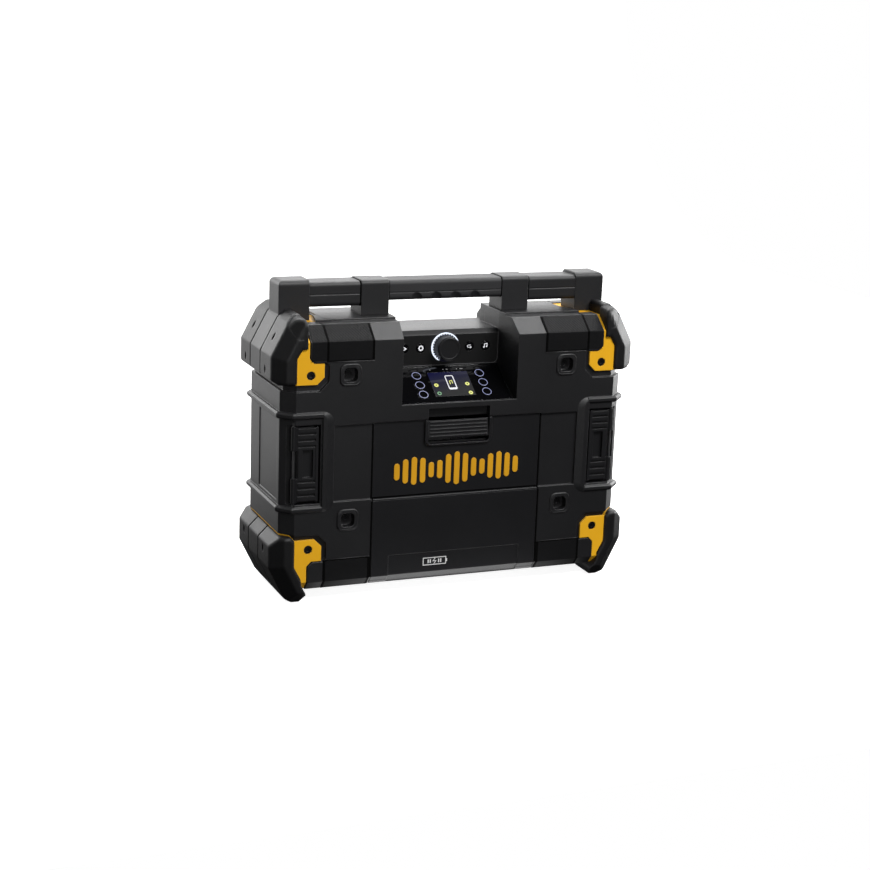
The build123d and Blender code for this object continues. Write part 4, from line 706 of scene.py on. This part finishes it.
# ---------------------------------------------------------------- Display
# A colour display under a sheet of glass: a dark blue sky that greys downwards, the outline of a pocket
# telephone, and four small lamps in yellow and green. A row of dim marks stands above it.
PICTURE_LOW, PICTURE_HIGH, PICTURE_HALF, SKY_LEAN = 0.231, 0.2515, 0.0245, 0.35
SKY_GREY, SKY_BLUE = (0.045, 0.045, 0.045, 1), (0.006, 0.007, 0.055, 1)
glass, tree, output = new_material("display_picture")
place = object_place(tree)
x, y, z = split(tree, place)
up, right = ramp(tree, z, PICTURE_LOW, PICTURE_HIGH), ramp(tree, x, -PICTURE_HALF, PICTURE_HALF)
drift = math_node(tree, "SUBTRACT", up, math_node(tree, "MULTIPLY", right, SKY_LEAN), clamp=True)
dots = shade(tree, "ShaderNodeTexWave", {"bands_direction": "X"}, Vector=place, Scale=900.0).outputs["Fac"]
picture = toned(tree, blend(tree, drift, SKY_GREY, SKY_BLUE), ramp(tree, dots, 0.0, 1.0, 0.85, 1.1))
gloss = ramp(tree, noise(tree, place, 80.0, 4.0), 0.3, 0.8, 0.035, 0.06)
bsdf = shade(tree, "ShaderNodeBsdfPrincipled", Base_Color=(0.003, 0.003, 0.004, 1), Roughness=gloss,
             Emission_Color=picture, Emission_Strength=0.8)
tree.links.new(bsdf.outputs[0], output.inputs[0])
finish_nodes(glass, "display_window")

PRINT_LOW, PRINT_HIGH, EYE_HIGH = -0.0001, 0.00012, 0.0002
PHONE_HALF, PHONE_LOW, PHONE_HIGH, PHONE_CORNER = 0.0047, 0.0192, 0.0400, 0.0014
PHONE_LINE, PHONE_CHIN = 0.0011, 0.0022
LAMP_X, LAMP_HIGH, LAMP_LOW, LAMP_RADIUS, EYE_RADIUS = 0.0192, 0.0263, 0.0124, 0.0026, 0.0008
GREEN_Z, GREEN_RADIUS, GREEN_LINE = 0.0136, 0.002, 0.001
MARKS_Z, MARK_LINE = 0.0503, 0.0009
MARKS = ((-0.0205, 0.0012), (-0.0042, 0.0012), (0.0, 0.0022), (0.0128, 0.0012), (0.0172, 0.0036))


def printed(path, width, closed=False):
    """A line printed on the slanted glass."""
    return ribbon(SLANT, path, width, PRINT_LOW, PRINT_HIGH, closed)


inner, low, high = PHONE_HALF - PHONE_CORNER, PHONE_LOW + PHONE_CORNER, PHONE_HIGH - PHONE_CORNER
phone = np.vstack([circle(PHONE_CORNER, centre, start, start + 90, 6) for centre, start in (
    ((inner, high), 0), ((-inner, high), 90), ((-inner, low), 180), ((inner, low), 270))])
chin = [(-PHONE_HALF, PHONE_LOW + PHONE_CHIN / 2), (PHONE_HALF, PHONE_LOW + PHONE_CHIN / 2)]
add_piece("display_phone", [printed(phone, PHONE_LINE, closed=True), printed(chin, PHONE_CHIN)], white_light)
note = [(-0.0014, 0.0268), (-0.0014, 0.0318), (0.0016, 0.0326), (0.0016, 0.0280)]
yellow_light = lit_sign("yellow_light", (0.9, 0.92, 0.22), 0.95)
add_piece("display_note", [printed(note, 0.0009)], yellow_light)
places = ((-LAMP_X, LAMP_HIGH), (LAMP_X, LAMP_HIGH), (LAMP_X, LAMP_LOW))
add_piece("display_lamps", [disc(SLANT, LAMP_RADIUS, place, PRINT_LOW, PRINT_HIGH) for place in places],
          yellow_light)
dark_ink = moulded("dark_ink", (0.01, 0.012, 0.01), (0.02, 0.02, 0.02), rough=0.3, grain=2000, depth=0.00001,
                   edge=0.0001)
add_piece("display_lamp_eyes", [disc(SLANT, EYE_RADIUS, place, PRINT_LOW, EYE_HIGH, 16) for place in places],
          dark_ink)
green_light = lit_sign("green_light", (0.2, 0.55, 0.24), 0.75)
add_piece("display_green_lamp", [printed(circle(GREEN_RADIUS, (-LAMP_X, GREEN_Z)), GREEN_LINE, closed=True)],
          green_light)
marks = [printed([(u, MARKS_Z), (u + length, MARKS_Z)], MARK_LINE) for u, length in MARKS]
add_piece("panel_marks", marks, lit_sign("dim_light", (0.5, 0.5, 0.5), 0.6))

# ---------------------------------------------------------------- Dial
# A satin black knob with a faint power sign, on the shaft of an encoder. It sits in a ring of clear plastic
# that is lit from behind over most of the left half, brightest at its rim and in short ticks inside it.
knob_black = moulded("knob_black", (0.006, 0.006, 0.007), (0.05, 0.05, 0.052), rough=0.33, grain=2600,
                     depth=0.00008, edge=0.0008)
finish_nodes(knob_black, "volume_knob")
finish_nodes(metal("encoder_steel", (0.5, 0.5, 0.48), 0.3), "encoder_body")
KNOB_LOW, KNOB_HIGH, POWER_LINE = 0.0132, 0.0134, 0.0004
# The power sign on the knob glows a little, though no lamp is behind it: painted light.
power = [ribbon(UPRIGHT, path, POWER_LINE, KNOB_LOW, KNOB_HIGH)
         for path in (circle(0.0019, (0, 0), 120, 420, 25), [(0, 0.0008), (0, 0.0026)])]
add_piece("knob_power_sign", power, lit_sign("power_glow", (0.06, 0.06, 0.065), 0.5), "dial")

ARC_MIDDLE, ARC_FULL, ARC_END, TICKS, TICK_FROM = -0.75, 1.75, 2.0, 30.0, 0.1
RIM_FROM, RIM_FULL = 0.0158, 0.0161
ring_glow, tree, output = new_material("dial_ring_light")
place = object_place(tree)
centred = shade(tree, "ShaderNodeMapping", Vector=place, Location=(0, 0, -DIAL_Z)).outputs[0]
x, y, z = split(tree, centred)
angle = math_node(tree, "ARCTAN2", x, z)
arc = spot(tree, angle, ARC_MIDDLE, ARC_END, ARC_FULL)
rim = ramp(tree, reach(tree, x, z), RIM_FROM, RIM_FULL)
swing = math_node(tree, "SINE", math_node(tree, "MULTIPLY", angle, TICKS))
ticks = math_node(tree, "GREATER_THAN", swing, TICK_FROM)
ticks = math_node(tree, "MULTIPLY", ticks, noise(tree, place, 160.0, 2.0))
level = math_node(tree, "MULTIPLY", math_node(tree, "MAXIMUM", rim, ticks), arc)
glow = blend(tree, level, (0.002, 0.002, 0.005, 1), (0.8, 0.87, 1.0, 1))
bsdf = shade(tree, "ShaderNodeBsdfPrincipled", Base_Color=(0.01, 0.01, 0.012, 1), Roughness=0.3,
             Emission_Color=glow, Emission_Strength=1.35)
tree.links.new(bsdf.outputs[0], output.inputs[0])
finish_nodes(ring_glow, "light_ring")

# ---------------------------------------------------------------- Door and latches
# The drop-down door is one stiff moulding with a sliding ribbed tab, a step across its front and a row of
# raised yellow bars, as on a sound meter. The side latches turn on steel pins. Round beads stand round the
# screw pockets beside the door.
door_black = moulded("door_black", (0.0045, 0.0045, 0.0056), (0.04, 0.04, 0.043), rough=0.36, grain=2600,
                     depth=0.00012, edge=0.0012)
finish_nodes(door_black, "front_door")
POCKET_X, POCKET_Z, POCKET_HALF, POCKET_SOFT = 0.13205, (0.2632, 0.0966), 0.0112, 0.0056
BEAD, BEAD_SINK = 0.0017, 0.0002


def bead_ring(centre_x, centre_z):
    """A round bead along a square with round corners on the front: the square's line, plus the bead's radius
    times the cosine of the turn outwards and times its sine forwards."""
    straight = POCKET_HALF - POCKET_SOFT
    path = np.vstack([circle(POCKET_SOFT, (across * straight, up * straight), start, start + 89.9, 7)
                      for across, up, start in ((1, 1, 0), (-1, 1, 90), (-1, -1, 180), (1, -1, 270))])
    out = path - np.clip(path, -straight, straight)
    out /= np.linalg.norm(out, axis=1)[:, None]
    loops = []
    for turn in np.radians(np.arange(0, 360, 30)):
        line = path + out * BEAD * math.cos(turn) + (centre_x, centre_z)
        forward = np.full(len(path), FRONT_Y + BEAD_SINK - BEAD * math.sin(turn))
        loops.append(np.column_stack([line[:, 0], forward, line[:, 1]]))
    return hull(loops, ring=True)


beads = [bead_ring(sign * POCKET_X, z) for side, sign in SIDES for z in POCKET_Z]
add_piece("pocket_beads", beads, case_black, smooth=True)

BAND_Y, GAP_X, GAP_WIDTH = -0.0674, 0.1035, 0.0018
FRONT, BAND = upright_plane(FRONT_Y), upright_plane(BAND_Y)
# Near-black strips down both edges of the door: painted shade in its gaps.
door_shades = [ribbon(plane, [(sign * GAP_X, low), (sign * GAP_X, high)], GAP_WIDTH, -0.0001, 0.0002)
        for side, sign in SIDES for plane, low, high in ((FRONT, 0.027, 0.1157), (BAND, 0.1185, 0.2062))]
add_piece("door_gap_shade", door_shades, gap_shade_black)

STEP_HALF, STEP_SEAM_Z, STEP_SEAM = 0.1020, 0.1193, 0.0016
STEP = [(-0.0673, 0.1160), (-0.06995, 0.1157), (-0.06995, 0.1172), (-0.0696, 0.1179), (-0.0689, 0.1183),
        (-0.0673, 0.1184)]
step = hull([[(x, y, z) for y, z in STEP] for x in (-STEP_HALF, STEP_HALF)], flip=True)
add_piece("door_step", [step], door_black, "door")
# A near-black line along the groove above the step: painted shade.
step_shade = ribbon(BAND, [(-STEP_HALF, STEP_SEAM_Z), (STEP_HALF, STEP_SEAM_Z)], STEP_SEAM, -0.0002, 0.0003)
add_piece("door_step_shade", [step_shade], gap_shade_black, "door")

BARS, BARS_HALF, BARS_Z = 15, 0.0735, 0.1475
BAR_RISE, BAR_HALF, BAR_HEIGHT, BAR_BEVEL = 0.0195, 0.0034, 0.0007, 0.0003


def swing_of(where):
    """How far a bar of the row reaches up and down, for its place from -1 to 1: 0.32 plus 0.68 times the size
    of the cosine of 4.2 times the place, which fades by 0.45 times the place squared towards the ends."""
    return 0.32 + 0.68 * abs(math.cos(4.2 * where)) * (1 - 0.45 * where * where)


def soft_bar(plane, centre_u, centre_v, half_v):
    """A raised bar with round ends: a stadium outline, straight up, then drawn in to a flat top."""
    turn = np.radians(np.concatenate([np.linspace(0, 180, 13), np.linspace(180, 360, 13)]))
    middle = np.repeat([1, -1], 13) * (half_v - BAR_HALF)
    return hull([on_plane(plane, centre_u + radius * np.cos(turn), centre_v + middle + radius * np.sin(turn), lift)
                 for radius, lift in ((BAR_HALF, -0.0002), (BAR_HALF, BAR_HEIGHT - BAR_BEVEL),
                                      (BAR_HALF - BAR_BEVEL, BAR_HEIGHT))])


bars = [soft_bar(BAND, BARS_HALF * where, BARS_Z, BAR_RISE * swing_of(where))
        for where in [number / (BARS - 1) * 2 - 1 for number in range(BARS)]]
sign_yellow = moulded("sign_yellow", (0.68, 0.33, 0.012), (0.9, 0.58, 0.16), rough=0.3, grain=3000,
                      depth=0.00003, edge=0.0003)
add_piece("sound_bars", bars, sign_yellow, "door")

# The label field at the door's foot: a battery with a bolt and four bars of charge, in white ink.
LABEL, LABEL_X, LABEL_Z, INK = upright_plane(-0.0692), -0.024, 0.0385, 0.0001
CELL_HALF, CELL_RISE, CHARGE_X = 0.0140, 0.0042, (-0.0078, -0.0052, 0.0052, 0.0078)


def inked(path, width, closed=False):
    """A line of ink about the label's middle."""
    return ribbon(LABEL, np.array(path, float) + (LABEL_X, LABEL_Z), width, -INK, INK, closed)


cell = [(-CELL_HALF, -CELL_RISE), (CELL_HALF, -CELL_RISE), (CELL_HALF, CELL_RISE), (-CELL_HALF, CELL_RISE)]
pole = [(CELL_HALF + 0.001, -0.0018), (CELL_HALF + 0.001, 0.0018)]
bolt = [(0.0008, 0.0034), (-0.0018, 0), (0.0018, 0), (-0.0008, -0.0034)]
charge = [inked([(u, -0.0022), (u, 0.0022)], 0.0014) for u in CHARGE_X]
sign_white = moulded("sign_white", (0.72, 0.72, 0.72), (0.8, 0.8, 0.8), rough=0.35, grain=3000, depth=0.00002,
                     edge=0.0001)
add_piece("charge_sign", [inked(cell, 0.0009, closed=True), inked(pole, 0.0014), inked(bolt, 0.0008), *charge],
          sign_white, "door")
latch_black = moulded("latch_black", (0.006, 0.006, 0.007), (0.03, 0.03, 0.032), rough=0.36, grain=2400,
                      depth=0.0001, edge=0.0006)
finish_nodes(latch_black, "door_latch_tab", *both("latch"))
finish_nodes(metal("pin_steel", (0.16, 0.16, 0.165), 0.3), "latch_pins", "door_hinge_pins", "latch_spring")

# ---------------------------------------------------------------- Compartment and electrics
# A grey-black tray behind the door with a foam-rubber seal, a battery charger's rails and the plug sockets.
# Behind it are the green circuit boards, the mains supply in its tin, and a felt filter inside the rear vents.
tray_grey = moulded("tray_grey", (0.035, 0.035, 0.037), (0.09, 0.09, 0.092), rough=0.45, grain=1800,
                    depth=0.00015, edge=0.0008)
finish_nodes(tray_grey, "compartment_liner", "charger_dock", "mains_inlet", "encoder_rotor")
foam_rubber = moulded("seal_rubber", (0.012, 0.012, 0.012), (0.03, 0.03, 0.03), rough=0.7, grain=3500,
                      depth=0.00025, edge=0.0006)
finish_nodes(foam_rubber, "door_seal")
socket_black = moulded("socket_black", (0.01, 0.01, 0.01), (0.03, 0.03, 0.03), rough=0.25, grain=3000,
                       depth=0.00005, edge=0.0004)
finish_nodes(socket_black, "media_sockets")
board_green = moulded("board_green", (0.015, 0.09, 0.035), (0.1, 0.16, 0.08), rough=0.3, grain=400,
                      depth=0.0002, edge=0.0002)
finish_nodes(board_green, "main_board", "control_board")
finish_nodes(metal("supply_tin", (0.6, 0.6, 0.61), 0.35), "power_supply")
FELT_HALF, FELT_Y, FELT_Z = 0.064, (0.0652, 0.0660), (0.146, 0.212)
felt_plan = [(-FELT_HALF, FELT_Y[0]), (FELT_HALF, FELT_Y[0]), (FELT_HALF, FELT_Y[1]), (-FELT_HALF, FELT_Y[1])]
dust_felt = moulded("dust_felt", (0.01, 0.01, 0.01), (0.02, 0.02, 0.02), rough=0.8, grain=1200, depth=0.0003,
                    edge=0.0001, shine=0.1)
add_piece("dust_filter", [hull([[(x, y, z) for x, y in felt_plan] for z in FELT_Z])], dust_felt)
